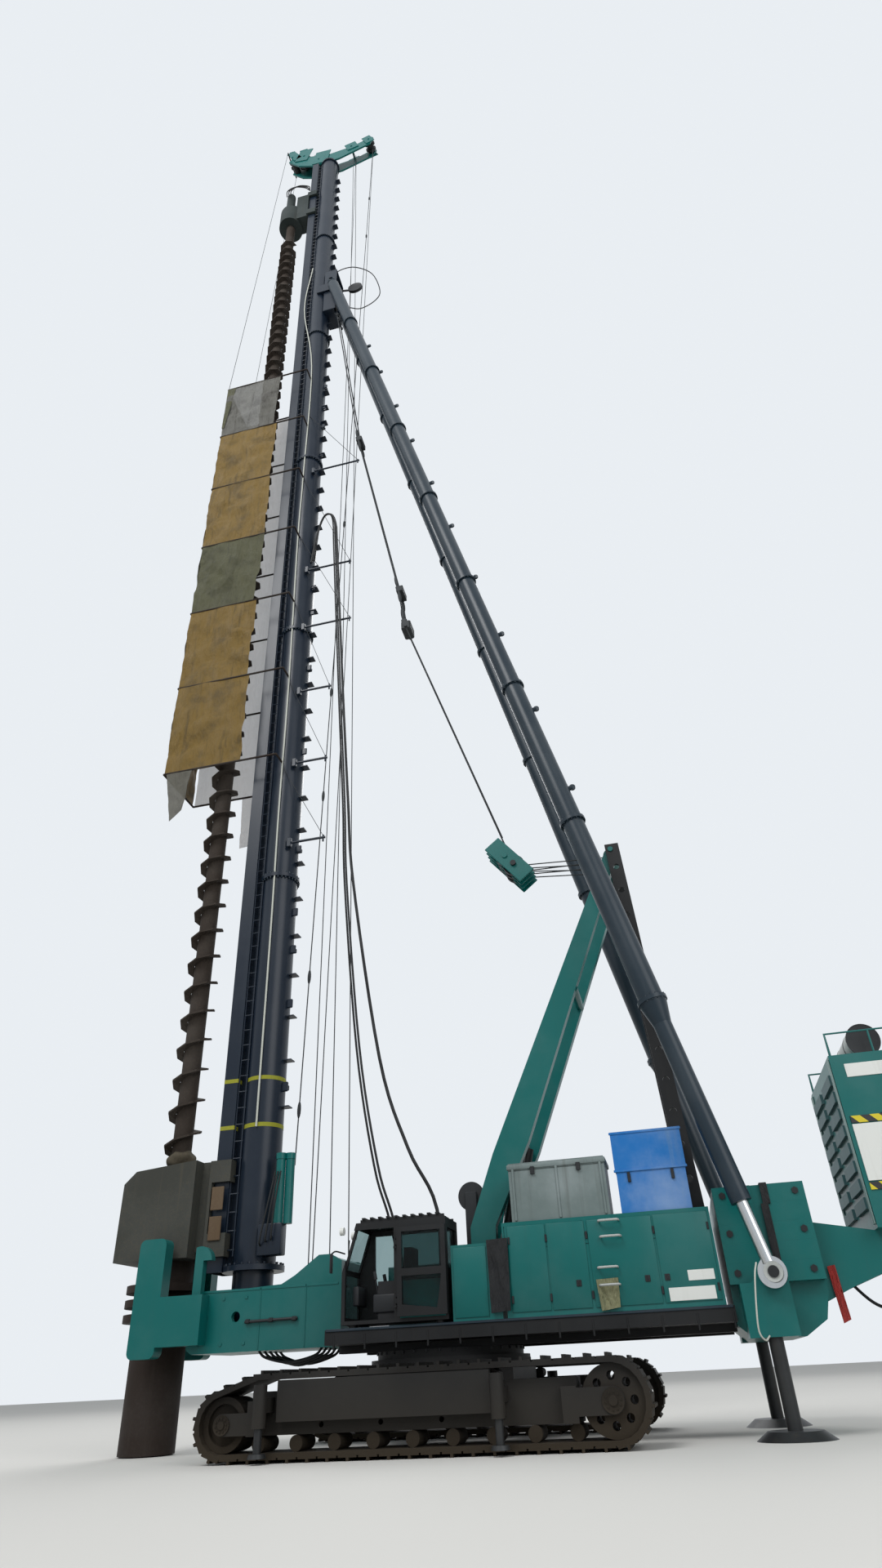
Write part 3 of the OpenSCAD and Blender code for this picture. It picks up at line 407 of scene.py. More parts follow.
def settle(piece):
    """Puts the place, turn and size of a piece into its mesh."""
    select([piece])
    bpy.ops.object.transform_apply(location=True, rotation=True, scale=True)
    return piece


def facing(way):
    """The turn that points the Z axis along a direction."""
    return Vector(way).to_track_quat("Z", "Y").to_euler()


def block(lo, hi, edge=4, segments=1, lean=0.0):
    """A bevelled block between two corners, turned about its middle by lean degrees round Y."""
    a, b = at(*lo), at(*hi)
    size = [abs(v) for v in b - a]
    piece = added(bpy.ops.mesh.primitive_cube_add, size=1, location=(a + b) / 2,
                  rotation=(0, math.radians(lean), 0))
    piece.scale = size
    select([settle(piece)])
    bpy.ops.object.mode_set(mode="EDIT")
    bpy.ops.mesh.select_all(action="SELECT")
    room = min(size) * 1000 / 3
    bpy.ops.mesh.bevel(offset=min(edge, room) / 1000, segments=segments, affect="EDGES",
                       clamp_overlap=True)
    bpy.ops.object.mode_set(mode="OBJECT")
    return piece


def rod(a, b, d, sides=10):
    """A round bar between two points."""
    start, end = at(*a), at(*b)
    return settle(added(
        bpy.ops.mesh.primitive_cylinder_add, vertices=sides, radius=d / 2000,
        depth=(end - start).length, location=(start + end) / 2, rotation=facing(end - start)))


def pin(x, z, reach, d, sides=10):
    """A round bar across the middle plane, with the same reach to both sides."""
    return rod((x, -reach, z), (x, reach, z), d, sides)


def wheel(centre, d, width, rim=0.0, depth=0.0, sides=28, axis=ACROSS):
    """A disc, with a recess of depth inside rim on both faces where rim is given."""
    piece = added(bpy.ops.mesh.primitive_cylinder_add, vertices=sides, radius=d / 2000,
                  depth=width / 1000, location=at(*centre), rotation=facing(axis))
    if rim:
        select([piece])
        bpy.ops.object.mode_set(mode="EDIT")
        bpy.ops.mesh.select_mode(type="FACE")
        bpy.ops.mesh.select_all(action="DESELECT")
        bpy.ops.object.mode_set(mode="OBJECT")
        for face in piece.data.polygons:
            face.select = abs(face.normal.z) > 0.9
        bpy.ops.object.mode_set(mode="EDIT")
        bpy.ops.mesh.inset(thickness=rim / 1000, depth=-depth / 1000, use_individual=True)
        bpy.ops.object.mode_set(mode="OBJECT")
    return settle(piece)


def smooth_path(points, steps=6):
    """Points of a smooth curve through the given ones, in the frame's metres."""
    knots = [at(*p) for p in points]
    ends = [2 * knots[0] - knots[1]] + knots + [2 * knots[-1] - knots[-2]]
    path = []
    for i in range(1, len(ends) - 2):
        p0, p1, p2, p3 = ends[i - 1:i + 3]
        for k in range(steps):
            t = k / steps
            path.append(0.5 * (2 * p1 + (p2 - p0) * t + (2 * p0 - 5 * p1 + 4 * p2 - p3) * t * t
                               + (3 * p1 - p0 - 3 * p2 + p3) * t ** 3))
    return path + [knots[-1]]


def hose(path, d, corners=2):
    """A round hose or rope along points in metres, made a mesh."""
    curve = bpy.data.curves.new("line", "CURVE")
    curve.dimensions = "3D"
    curve.bevel_depth = d / 2000
    curve.bevel_resolution = corners
    curve.use_fill_caps = True
    spline = curve.splines.new("POLY")
    spline.points.add(len(path) - 1)
    for point, place in zip(spline.points, path):
        point.co = (*place, 1)
    piece = bpy.data.objects.new("line", curve)
    bpy.context.collection.objects.link(piece)
    select([piece])
    bpy.ops.object.convert(target="MESH")
    return bpy.context.object


def bent(points, d, steps=6):
    """A hose or bar that curves through points in millimetres."""
    return hose(smooth_path(points, steps), d)


def rope(a, b, d):
    """A taut rope between two points."""
    return hose([at(*a), at(*b)], d, 1)


def socket(place, direction, length, d):
    """The spindle-shaped socket on a rope: a barrel drawn in at both ends."""
    piece = added(bpy.ops.mesh.primitive_uv_sphere_add, segments=10, ring_count=8, radius=1,
                  location=at(*place), rotation=facing(Vector(direction).normalized()))
    piece.scale = (d / 2000, d / 2000, length / 2000)
    return settle(piece)


def copies(source, moves):
    """Copies of a shape, each with its own mesh, moved by millimetres or turned by a matrix."""
    made = []
    for move in moves:
        twin = source.copy()
        twin.data = source.data.copy()
        bpy.context.collection.objects.link(twin)
        turned = isinstance(move, Matrix)
        twin.data.transform(move if turned else Matrix.Translation(Vector(move) / 1000))
        made.append(twin)
    return made


def bolt_ring(centre, axis, radius, count, d, height):
    """Hexagon bolts in a ring round an axis."""
    way = Vector(axis).normalized()
    first = Vector(centre) + way.orthogonal().normalized() * radius
    bolt = rod(first, first + way * height, d, sides=6)
    there, back = Matrix.Translation(at(*centre)), Matrix.Translation(-at(*centre))
    angles = [2 * math.pi * i / count for i in range(1, count)]
    return [bolt] + copies(bolt, [there @ Matrix.Rotation(a, 4, way) @ back for a in angles])


def joined(name, parts, finish, angle=35):
    """One piece of several shapes, with its finish."""
    select(parts)
    if len(parts) > 1:
        bpy.ops.object.join()
    piece = bpy.context.object
    piece.name = name
    piece.data.name = name
    piece.data.materials.clear()
    piece.data.materials.append(FINISH[finish])
    bpy.ops.object.shade_smooth_by_angle(angle=math.radians(angle))
    return piece


def riding(name, parts, finish, body, angle=35):
    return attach(joined(name, parts, finish, angle), body)


on_leader = partial(riding, body="leader")
on_upper = partial(riding, body="upper")


# Finishes of the frame


class RIG_OT_paint_frame(bpy.types.Operator):
    """Gives every CAD node its finish"""

    bl_idname = "rig.paint_frame"
    bl_label = "Paint the frame"

    def execute(self, context):
        make_finishes()
        for finish, names in CAD_FINISH.items():
            for name in names.split():
                node = NODES[name]
                node.data.materials.clear()
                node.data.materials.append(FINISH[finish])
        return {"FINISHED"}


# Hoses, cables and ropes


class RIG_OT_hoses(bpy.types.Operator):
    """Hangs the free hoses and cables"""

    bl_idname = "rig.hoses"
    bl_label = "Hoses"

    # Name, finish, diameter in mm, stiffness, way of hanging, points in mm, then its body,
    # or the bodies at both ends with the points between which it bends
    LINES = (
        ("hose_bundle_a", "rubber", 26, "medium", "hanging",
         ((1222, -40, 12300), (1262, -60, 12800), (1330, -120, 13150), (1450, -180, 13290),
          (1560, -200, 13200), (1610, -210, 12900), (1640, -220, 12300), (1805, -230, 9220),
          (1935, -250, 7000), (2005, -300, 5740), (2190, -300, 3635), (2400, -300, 2370),
          (2570, -280, 1800), (2750, -200, 912)),
         ("leader", "upper", (1935, -250, 7000), (2300, -300, 3000))),
        ("hose_bundle_b", "rubber", 26, "medium", "hanging",
         ((1206, -75, 12240), (1268, -95, 12740), (1345, -150, 13110), (1460, -215, 13235),
          (1585, -240, 13150), (1650, -245, 12880), (1682, -255, 12300), (1845, -265, 9220),
          (1975, -285, 7000), (2045, -335, 5740), (2235, -335, 3635), (2450, -335, 2370),
          (2620, -315, 1800), (2800, -240, 912)),
         ("leader", "upper", (1975, -285, 7000), (2330, -335, 3000))),
        ("hose_wide", "rubber", 36, "medium", "hanging",
         ((1192, -110, 12180), (1262, -130, 12680), (1360, -180, 13060), (1480, -250, 13180),
          (1615, -275, 13090), (1690, -285, 12800), (1725, -290, 12300), (1895, -300, 9220),
          (2030, -310, 7000), (2130, -330, 5720), (2470, -330, 3475), (2775, -320, 2503),
          (3060, -300, 1900), (3120, -290, 912)),
         ("leader", "upper", (2030, -310, 7000), (2450, -330, 3600))),
        ("head_cable", "rubber", 22, "stiff", "hanging",
         ((1225, -60, 22150), (1500, -150, 22180), (1880, -200, 22000), (2300, -220, 21420),
          (2480, -200, 20620), (2380, -200, 20240), (2020, -150, 20160), (1680, -120, 20430),
          (1360, -90, 20500), (1225, -60, 20480)), "leader"),
        ("tail_hose", "rubber", 26, "medium", "hanging",
         ((6648, -300, 1155), (6850, -320, 905), (6995, -330, 830), (7150, -330, 842),
          (7290, -310, 1000), (7360, -300, 1180), (7390, -300, 1385)), "upper"),
        ("jack_hose", "pale_rope", 14, "medium", "hanging",
         ((5935, -1120, 1175), (5900, -1185, 1080), (5858, -1205, 860), (5842, -1195, 700),
          (5880, -1150, 640), (5920, -1080, 668)), "upper"),
    )

    def execute(self, context):
        for name, finish, d, stiffness, lay, points, rides in self.LINES:
            path = smooth_path(points)
            piece = joined(name, [hose(path, d)], finish, 60)
            if isinstance(rides, str):
                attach(piece, rides)
            else:
                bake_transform(piece)
        return {"FINISHED"}


class RIG_OT_ropes(bpy.types.Operator):
    """Reeves the taut ropes, the pendants and the hanging block"""

    bl_idname = "rig.ropes"
    bl_label = "Ropes"

    # Each rear rope's top, foot and diameter. The sockets are at these heights on the first.
    REAR = (
        ((2250, -15, 29100), (1400, -15, 2500), 14),
        ((2230, 40, 29100), (1620, 40, 1340), 12),
        ((1690, -60, 28900), (1850, -60, 1340), 12),
        ((1720, 70, 28900), (2010, 70, 1340), 12),
        ((1740, 0, 28900), (1595, 0, 1340), 12),
    )
    SOCKETS = (25880, 23837, 13121, 9242, 7344, 4672, 3087)
    # X and Z of the joints of the pendants and of the yoke under them
    LINKS = ((2000, 15410), (2740, 11070))
    YOKE = (2850, 10210)
    # The middle of the hanging block
    BLOCK = (4105, 0, 5800)

    def execute(self, context):
        self.rear_ropes()
        self.guard_wires()
        self.pendants()
        self.block_and_falls()
        return {"FINISHED"}

    def rear_ropes(self):
        ropes = [rope(a, b, d) for a, b, d in self.REAR]
        top, foot, _ = self.REAR[0]
        for z in self.SOCKETS:
            x = foot[0] + (top[0] - foot[0]) * (z - foot[2]) / (top[2] - foot[2])
            ropes.append(socket((x, -15, z), at(*top) - at(*foot), 190, 44))
        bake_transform(joined("rear_ropes", ropes, "rope"))

    def guard_wires(self):
        wires = [rope((-200, side * 318, 29560), (-740, side * 450, 17713), 10)
                 for side in (-1, 1)]
        on_leader("guard_wires", wires + [pin(-200, 29560, 325, 36)], "rope")

    def pendants(self):
        parts = []
        yoke_x, yoke_z = self.YOKE
        for y in (-110, 110):
            knots = [(1400, y, 20700)] + [(x, y, z) for x, z in self.LINKS]
            knots.append((yoke_x - 30, y, yoke_z + 90))
            spans = list(zip(knots, knots[1:]))
            parts += [rope(a, b, 24) for a, b in spans]
            for a, b in spans:
                way = (at(*b) - at(*a)).normalized() * 1000
                for end, sign in ((a, 1), (b, -1)):
                    middle = [end[i] + sign * way[i] * 0.17 for i in range(3)]
                    eye = [end[i] + sign * way[i] * 0.03 for i in range(3)]
                    parts += [socket(middle, way, 300, 58), wheel(eye, 80, 34, sides=16)]
            parts += [socket((1425 + 30 * k, y, 20480 - 210 * k), (-0.15, 0, 1), 120, 62)
                      for k in range(3)]
        parts += [block((x - 35, -130, z - 60), (x + 75, 130, z + 60), 8) for x, z in self.LINKS]
        parts.append(block((yoke_x - 75, -135, yoke_z - 70), (yoke_x + 75, 135, yoke_z + 110), 20))
        parts.append(pin(yoke_x, yoke_z - 20, 160, 50))
        x, _, z = self.BLOCK
        parts += [rope((yoke_x, y, yoke_z - 30), (x - 60, y, z + 340), 22) for y in (-120, 120)]
        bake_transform(joined("pendants", parts, "rope"))

    def block_and_falls(self):
        x, _, z = self.BLOCK
        cheeks = [block((x - 118, y - 10, z - 330), (x + 118, y + 10, z + 330), 10, lean=-38)
                  for y in (-150, -50, 50, 150)]
        on_upper("hanging_block", cheeks + [pin(x - 50, z + 60, 175, 70, 16)], "teal")
        wheels = [wheel((x + 50, y, z - 70), 270, 56, 30, 10) for y in (-100, 0, 100)]
        wheels += [wheel((x - 50, y, z + 60), 230, 50, 26, 8) for y in (-100, 0, 100)]
        on_upper("block_sheaves", wheels + [pin(x + 50, z - 70, 190, 70, 16)], "frame_steel")
        falls = []
        for k in range(6):
            y = -125 + 50 * k
            drop = 125 if k % 2 else -60
            falls.append(rope((x + 60, y * 0.8, z - 130 + drop * 0.6),
                              (5300, y * 1.6, 5570 + drop * 0.5), 14))
        on_upper("gantry_falls", falls, "rope")


# Sheets


def sheet_shape(corners, across, down, wave, seed, thick, sag):
    """A wrinkled sheet between its top left, top right, bottom right and bottom left corners."""
    chance = random.Random(seed)
    a, b, c, d = (at(*corner) for corner in corners)
    normal = (b - a).cross(d - a).normalized()
    piece = added(bpy.ops.mesh.primitive_grid_add, x_subdivisions=across, y_subdivisions=down,
                  size=2, location=(0, 0, 0))
    folds = [(chance.uniform(3, 9 + 3 * i), chance.uniform(2, 6 + 2 * i) * chance.choice((-1, 1)),
              chance.uniform(0, 6.3), chance.uniform(0.5, 1.0) / (1 + 0.25 * i)) for i in range(8)]
    total = sum(fold[3] for fold in folds)
    for vertex in piece.data.vertices:
        u, v = (vertex.co.x + 1) / 2, (1 - vertex.co.y) / 2
        place = a * (1 - u) * (1 - v) + b * u * (1 - v) + c * u * v + d * (1 - u) * v
        swing = sum(size * math.sin(p * u + q * v + r + 1.3 * math.sin(2.1 * q * v))
                    for p, q, r, size in folds) / total
        free = 0.15 + 0.85 * math.sin(math.pi * min(1, max(0, v)))
        vertex.co = place + normal * swing * free * wave / 1000
        vertex.co.z -= sag / 1000 * math.sin(math.pi * u) * v
    thickness = piece.modifiers.new("thickness", "SOLIDIFY")
    thickness.thickness = thick / 1000
    thickness.offset = 0
    select([piece])
    bpy.ops.object.modifier_apply(modifier=thickness.name)
    return piece


class RIG_OT_sheets(bpy.types.Operator):
    """Hangs the tarpaulins of the spoil guard and the loose cloths"""

    bl_idname = "rig.sheets"
    bl_label = "Sheets"

    # The guard's front edge, rear edge, side face, foot and height of a row, in mm
    FRONT, REACH, SIDE, BASE, ROW = -735, 440, 458, 7900, 1633
    ROWS = ("sheet_yellow", "sheet_yellow", "sheet_green", "sheet_yellow", "sheet_yellow",
            "sheet_clear")

    def hang(self, name, finish, corners, wave, seed, grid=(22, 26), sag=0.0, thick=4,
             rests=("guard_frame",), body="leader", held="hung"):
        shape = sheet_shape(corners, grid[0], grid[1], wave, seed, thick, sag)
        piece = joined(name, [shape], finish, 60)
        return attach(piece, body)

    def execute(self, context):
        front, side, foot = self.FRONT, self.SIDE, self.SIDE + 4
        for i, finish in enumerate(self.ROWS):
            low, high = self.BASE + i * self.ROW, self.BASE + (i + 1) * self.ROW
            near = ((front, -side, high + 10), (self.REACH - 20 * (i % 2), -side, high - 15),
                    (self.REACH - 35 * (i % 3), -foot, low + 12), (front, -foot, low + 18))
            self.hang("guard_near_%d" % i, finish, near, 85, 11 + i, sag=30)
            far = ((front, side, high + 10), (self.REACH - 40, side, high - 15),
                   (self.REACH - 60, foot, low + 12), (front, foot, low + 18))
            self.hang("guard_far_%d" % i, "sheet_far", far, 55, 31 + i, sag=30)
            ahead = ((-752, 430, high + 5), (-752, -430, high + 5), (-756, -430, low + 18),
                     (-756, 430, low + 18))
            self.hang("guard_front_%d" % i, finish, ahead, 45, 51 + i, sag=25)
        for i in range(len(self.ROWS)):
            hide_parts("guard_side_sheets")
            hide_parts("guard_side_sheets")
            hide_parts("guard_front_sheet")
        top = self.BASE + len(self.ROWS) * self.ROW
        patch = ((-738, -482, top - 40), (-560, -482, top - 50), (-690, -484, top - 1380),
                 (-738, -484, top - 1400))
        self.hang("guard_patch", "sheet_green", patch, 14, 71, (8, 20))
        near = ((-700, -462, 7890), (-300, -462, 7880), (-390, -440, 7230), (-560, -430, 7080))
        self.hang("torn_near", "sheet_torn", near, 34, 72, (12, 22))
        far = ((60, 458, 7890), (470, 458, 7880), (505, 466, 7060), (90, 466, 7020))
        self.hang("torn_far", "sheet_far", far, 30, 73, (12, 22))
        flap = ((3655, -905, 1520), (3850, -905, 1525), (3840, -915, 960), (3665, -910, 950))
        self.hang("step_curtain", "sheet_black", flap, 22, 74, (14, 18),
                  rests=("engine_housing",), body="upper")
        tape = ((6540, -600, 1150), (6605, -600, 1160), (6625, -604, 760), (6560, -606, 735))
        self.hang("red_tape", "sheet_red", tape, 14, 75, (6, 18), thick=3, rests=("pack_arm",),
                  body="upper")
        cloth = ((4600, -892, 1150), (4790, -892, 1155), (4780, -905, 935), (4620, -905, 915))
        self.hang("work_cloth", "sheet_gloves", cloth, 30, 76, (16, 16),
                  rests=("engine_housing",), body="upper", held="gathered")
        return {"FINISHED"}


# Trim of the leader, the stays, the tools and the upper works


class RIG_OT_leader_trim(bpy.types.Operator):
    """Ladder, arms, lugs, bolts, bands, foot and head of the leader"""

    bl_idname = "rig.leader_trim"
    bl_label = "Leader trim"

    # Y, rung count and rung spacing of the ladder in the recess
    LADDER_Y, RUNGS, RUNG_GAP = -165, 149, 180
    # Heights of the flanges between the tube's sections
    FLANGES = (6055, 10555, 15055, 19555, 24055, 28530)
    # Height on the tube, reach of the arm, height where its wire meets the tube
    ARMS = ((14600, 2065, 16400), (11900, 1955, 14350), (10560, 1975, 12775),
            (9210, 1680, 11120), (7870, 1665, 9425), (6545, 1680, 7805))
    ARM_Y = -200
    LUGS = (17640, 16890, 16250, 15325, 11635, 11045, 9825, 8185, 6530, 5585, 5065, 4355, 3360)
    BANDS = (3444, 2927)
    # X and Y of the two rams at the foot
    RAMS = ((1330, -230), (1420, -190))
    # Ends in X, ends in Z and lean of the plates on each side of the head
    HEAD_PLATES = ((-190, 60, 29330, 29960, -24), (40, 430, 29150, 29820, 14),
                   (560, 1010, 28620, 29330, 8), (1500, 1830, 28920, 29300, -16),
                   (2020, 2270, 28980, 29420, -20))
    HEAD_PINS = ((-120, 29560), (240, 29420), (700, 28900), (1660, 29080), (2160, 29200))
    # X, Z and diameter of the pairs of sheaves on the head
    HEAD_SHEAVES = ((-120, 29560, 260), (240, 29420, 420), (700, 28960, 300), (2160, 29200, 280))

    def execute(self, context):
        self.ladder()
        self.side_arms()
        self.fittings()
        self.foot()
        self.stay_head()
        self.head()
        reel = [wheel((1860, -100, 21250), 330, 60, 40, 14, 36),
                rod((1430, -60, 21400), (1860, -60, 21250), 44)]
        on_leader("cable_reel", reel, "frame_steel")
        return {"FINISHED"}

    def ladder(self):
        y = self.LADDER_Y
        rung = rod((716, y, 1700), (830, y, 1700), 16, 8)
        parts = [rung] + copies(rung, [(0, 0, self.RUNG_GAP * i) for i in range(1, self.RUNGS)])
        parts += [rod((x, y, 1640), (x, y, 28450), 20, 8) for x in (726, 818)]
        on_leader("recess_ladder", parts, "slate")

    def side_arms(self):
        arms, wires = [], []
        y = self.ARM_Y
        for z, reach, hook in self.ARMS:
            arms.append(rod((1150, y, z), (reach, y, z), 34))
            arms.append(block((1140, y - 35, z - 70), (1200, y + 30, z + 70), 8))
            arms.append(rod((reach - 30, y, z + 40), (reach - 30, y, z - 60), 26, 8))
            wires.append(rope((1010, -228, hook), (reach - 25, y, z + 15), 9))
        on_leader("side_arms", arms, "slate")
        on_leader("arm_wires", wires, "rope")

    def fittings(self):
        line = bent(((820, -215, 22500), (695, -212, 20650), (990, -240, 18150),
                     (985, -240, 14440), (972, -240, 12775), (1005, -240, 9445),
                     (998, -240, 7190), (1010, -240, 5390), (1010, -240, 2900)), 24)
        on_leader("clipped_line", [line], "pale_rope", angle=60)
        lugs = [block((1200, -45, z - 55), (1275, -15, z + 55), 10) for z in self.LUGS]
        lugs += [block((1200, 20, z - 30), (1262, 45, z + 30), 8) for z in self.LUGS[::2]]
        on_leader("back_lugs", lugs, "slate")
        bolts = []
        for z in self.FLANGES:
            bolts += bolt_ring((TUBE_X, 0, z - 22), UP, 242, 30, 22, 92)
        on_leader("flange_bolts", bolts, "stay")
        bands = []
        for z in self.BANDS:
            bands.append(wheel((TUBE_X, 0, z), 453, 44, sides=48, axis=UP))
            bands.append(block((549, -191.5, z - 22), (721, 191.5, z + 22), 1))
        on_leader("yellow_bands", bands, "yellow")

    def foot(self):
        plate = [wheel((TUBE_X, 0, 1520), 640, 50, sides=48, axis=UP)]
        plate += bolt_ring((TUBE_X, 0, 1548), UP, 300, 24, 30, 20)
        plate.append(block((1140, -300, 1610), (1400, -150, 1905), 14, 2))
        on_leader("foot_plate", plate, "slate")
        rams = [rod((x, y, 1900), (x, y, 2560), 98, 20) for x, y in self.RAMS]
        rams += [rod((x, y, 2530), (x, y, 2590), 112, 20) for x, y in self.RAMS]
        on_leader("foot_rams", rams, "teal")
        pipes = [bent(((1180 + 60 * i, -302, 1700 + 40 * i), (1190 + 60 * i, -345, 1760),
                       (1250 + 40 * i, -350, 2050), (1300 + 30 * i, -300, 2400)), 18)
                 for i in range(3)]
        on_leader("foot_pipes", pipes, "rubber", angle=60)

    def stay_head(self):
        plates = [block((1150, y, 20350), (1440, y + 15, 22100), 8) for y in (-230, 215)]
        plates += [block((1150, -230, z), (x, 230, z + high), 8)
                   for x, z, high in ((1400, 20340, 35), (1440, 22080, 30))]
        plates.append(block((1200, -214, 20500), (1235, 214, 22000), 6))
        on_leader("stay_head", plates, "slate")

    def head(self):
        cheeks = [block((x0, y - 10, z0), (x1, y + 10, z1), 30, lean=lean)
                  for y in (-182, 182) for x0, x1, z0, z1, lean in self.HEAD_PLATES]
        cheeks += [pin(x, z, 206, 56, 16) for x, z in self.HEAD_PINS]
        cheeks += [block((-230, -200, 29900), (-110, 200, 29960), 12),
                   block((90, -200, 29810), (330, 200, 29850), 12)]
        on_leader("head_cheeks", cheeks, "teal")
        sheaves = [wheel((x, y, z), d, 44, 26, 8, 32)
                   for x, z, d in self.HEAD_SHEAVES for y in (-60, 60)]
        on_leader("head_sheaves", sheaves, "frame_steel")
        ladder = [pin(540, z, 120, 16, 8) for z in range(28700, 29400, 160)]
        ladder += [rod((540, y, 28590), (540, y, 29420), 18, 8) for y in (-120, 120)]
        on_leader("head_ladder", ladder, "slate")


class RIG_OT_stay_trim(bpy.types.Operator):
    """Flange bolts and lugs on the stays, discs at their feet"""

    bl_idname = "rig.stay_trim"
    bl_label = "Stay trim"

    # The ends of a stay's axis, with Y to its own side
    TOP = (1380, 340, 21300)
    FOOT = (6050, 1100, 1100)
    LUGS = (17880, 16747, 15390, 14142, 12771, 11529, 10216, 8931, 7471, 6164)
    # Flange rings on a tube, the length of the stay below them, and half a ring's bolt
    FLANGES, BARE, HALF_BOLT = 8, 2450, 32

    def on_axis(self, side, s):
        """The point at s mm down a stay, and the stay's direction."""
        top = Vector((self.TOP[0], side * self.TOP[1], self.TOP[2]))
        foot = Vector((self.FOOT[0], side * self.FOOT[1], self.FOOT[2]))
        return top + (foot - top).normalized() * s, (foot - top).normalized()

    def execute(self, context):
        length = (Vector(self.FOOT) - Vector(self.TOP)).length
        for side, word in ((-1, "left"), (1, "right")):
            parts = []
            for i in range(1, self.FLANGES + 1):
                down = (length - self.BARE) * i / self.FLANGES - self.HALF_BOLT
                parts += bolt_ring(*self.on_axis(side, down), 138, 16, 18, 64)
            for z in self.LUGS:
                share = (self.TOP[2] - z) / (self.TOP[2] - self.FOOT[2])
                place, way = self.on_axis(side, share * length)
                back = Vector((way.z, 0, -way.x)) * -1
                tip = place + back * 165
                parts += [rod(place + back * 115, tip, 60, 8), wheel(tip, 75, 26, sides=14)]
            riding("stay_trim_" + word, parts, "stay", "stay_tube_" + word)
            x, y, z = self.FOOT[0], side * 1172, self.FOOT[2]
            on_upper("foot_disc_" + word, [wheel((x, y, z), 150, 14, 8, 3, 32)], "pale")
            on_upper("foot_boss_" + word, [wheel((x, y + side * 8, z), 88, 12)], "frame_steel")
        return {"FINISHED"}


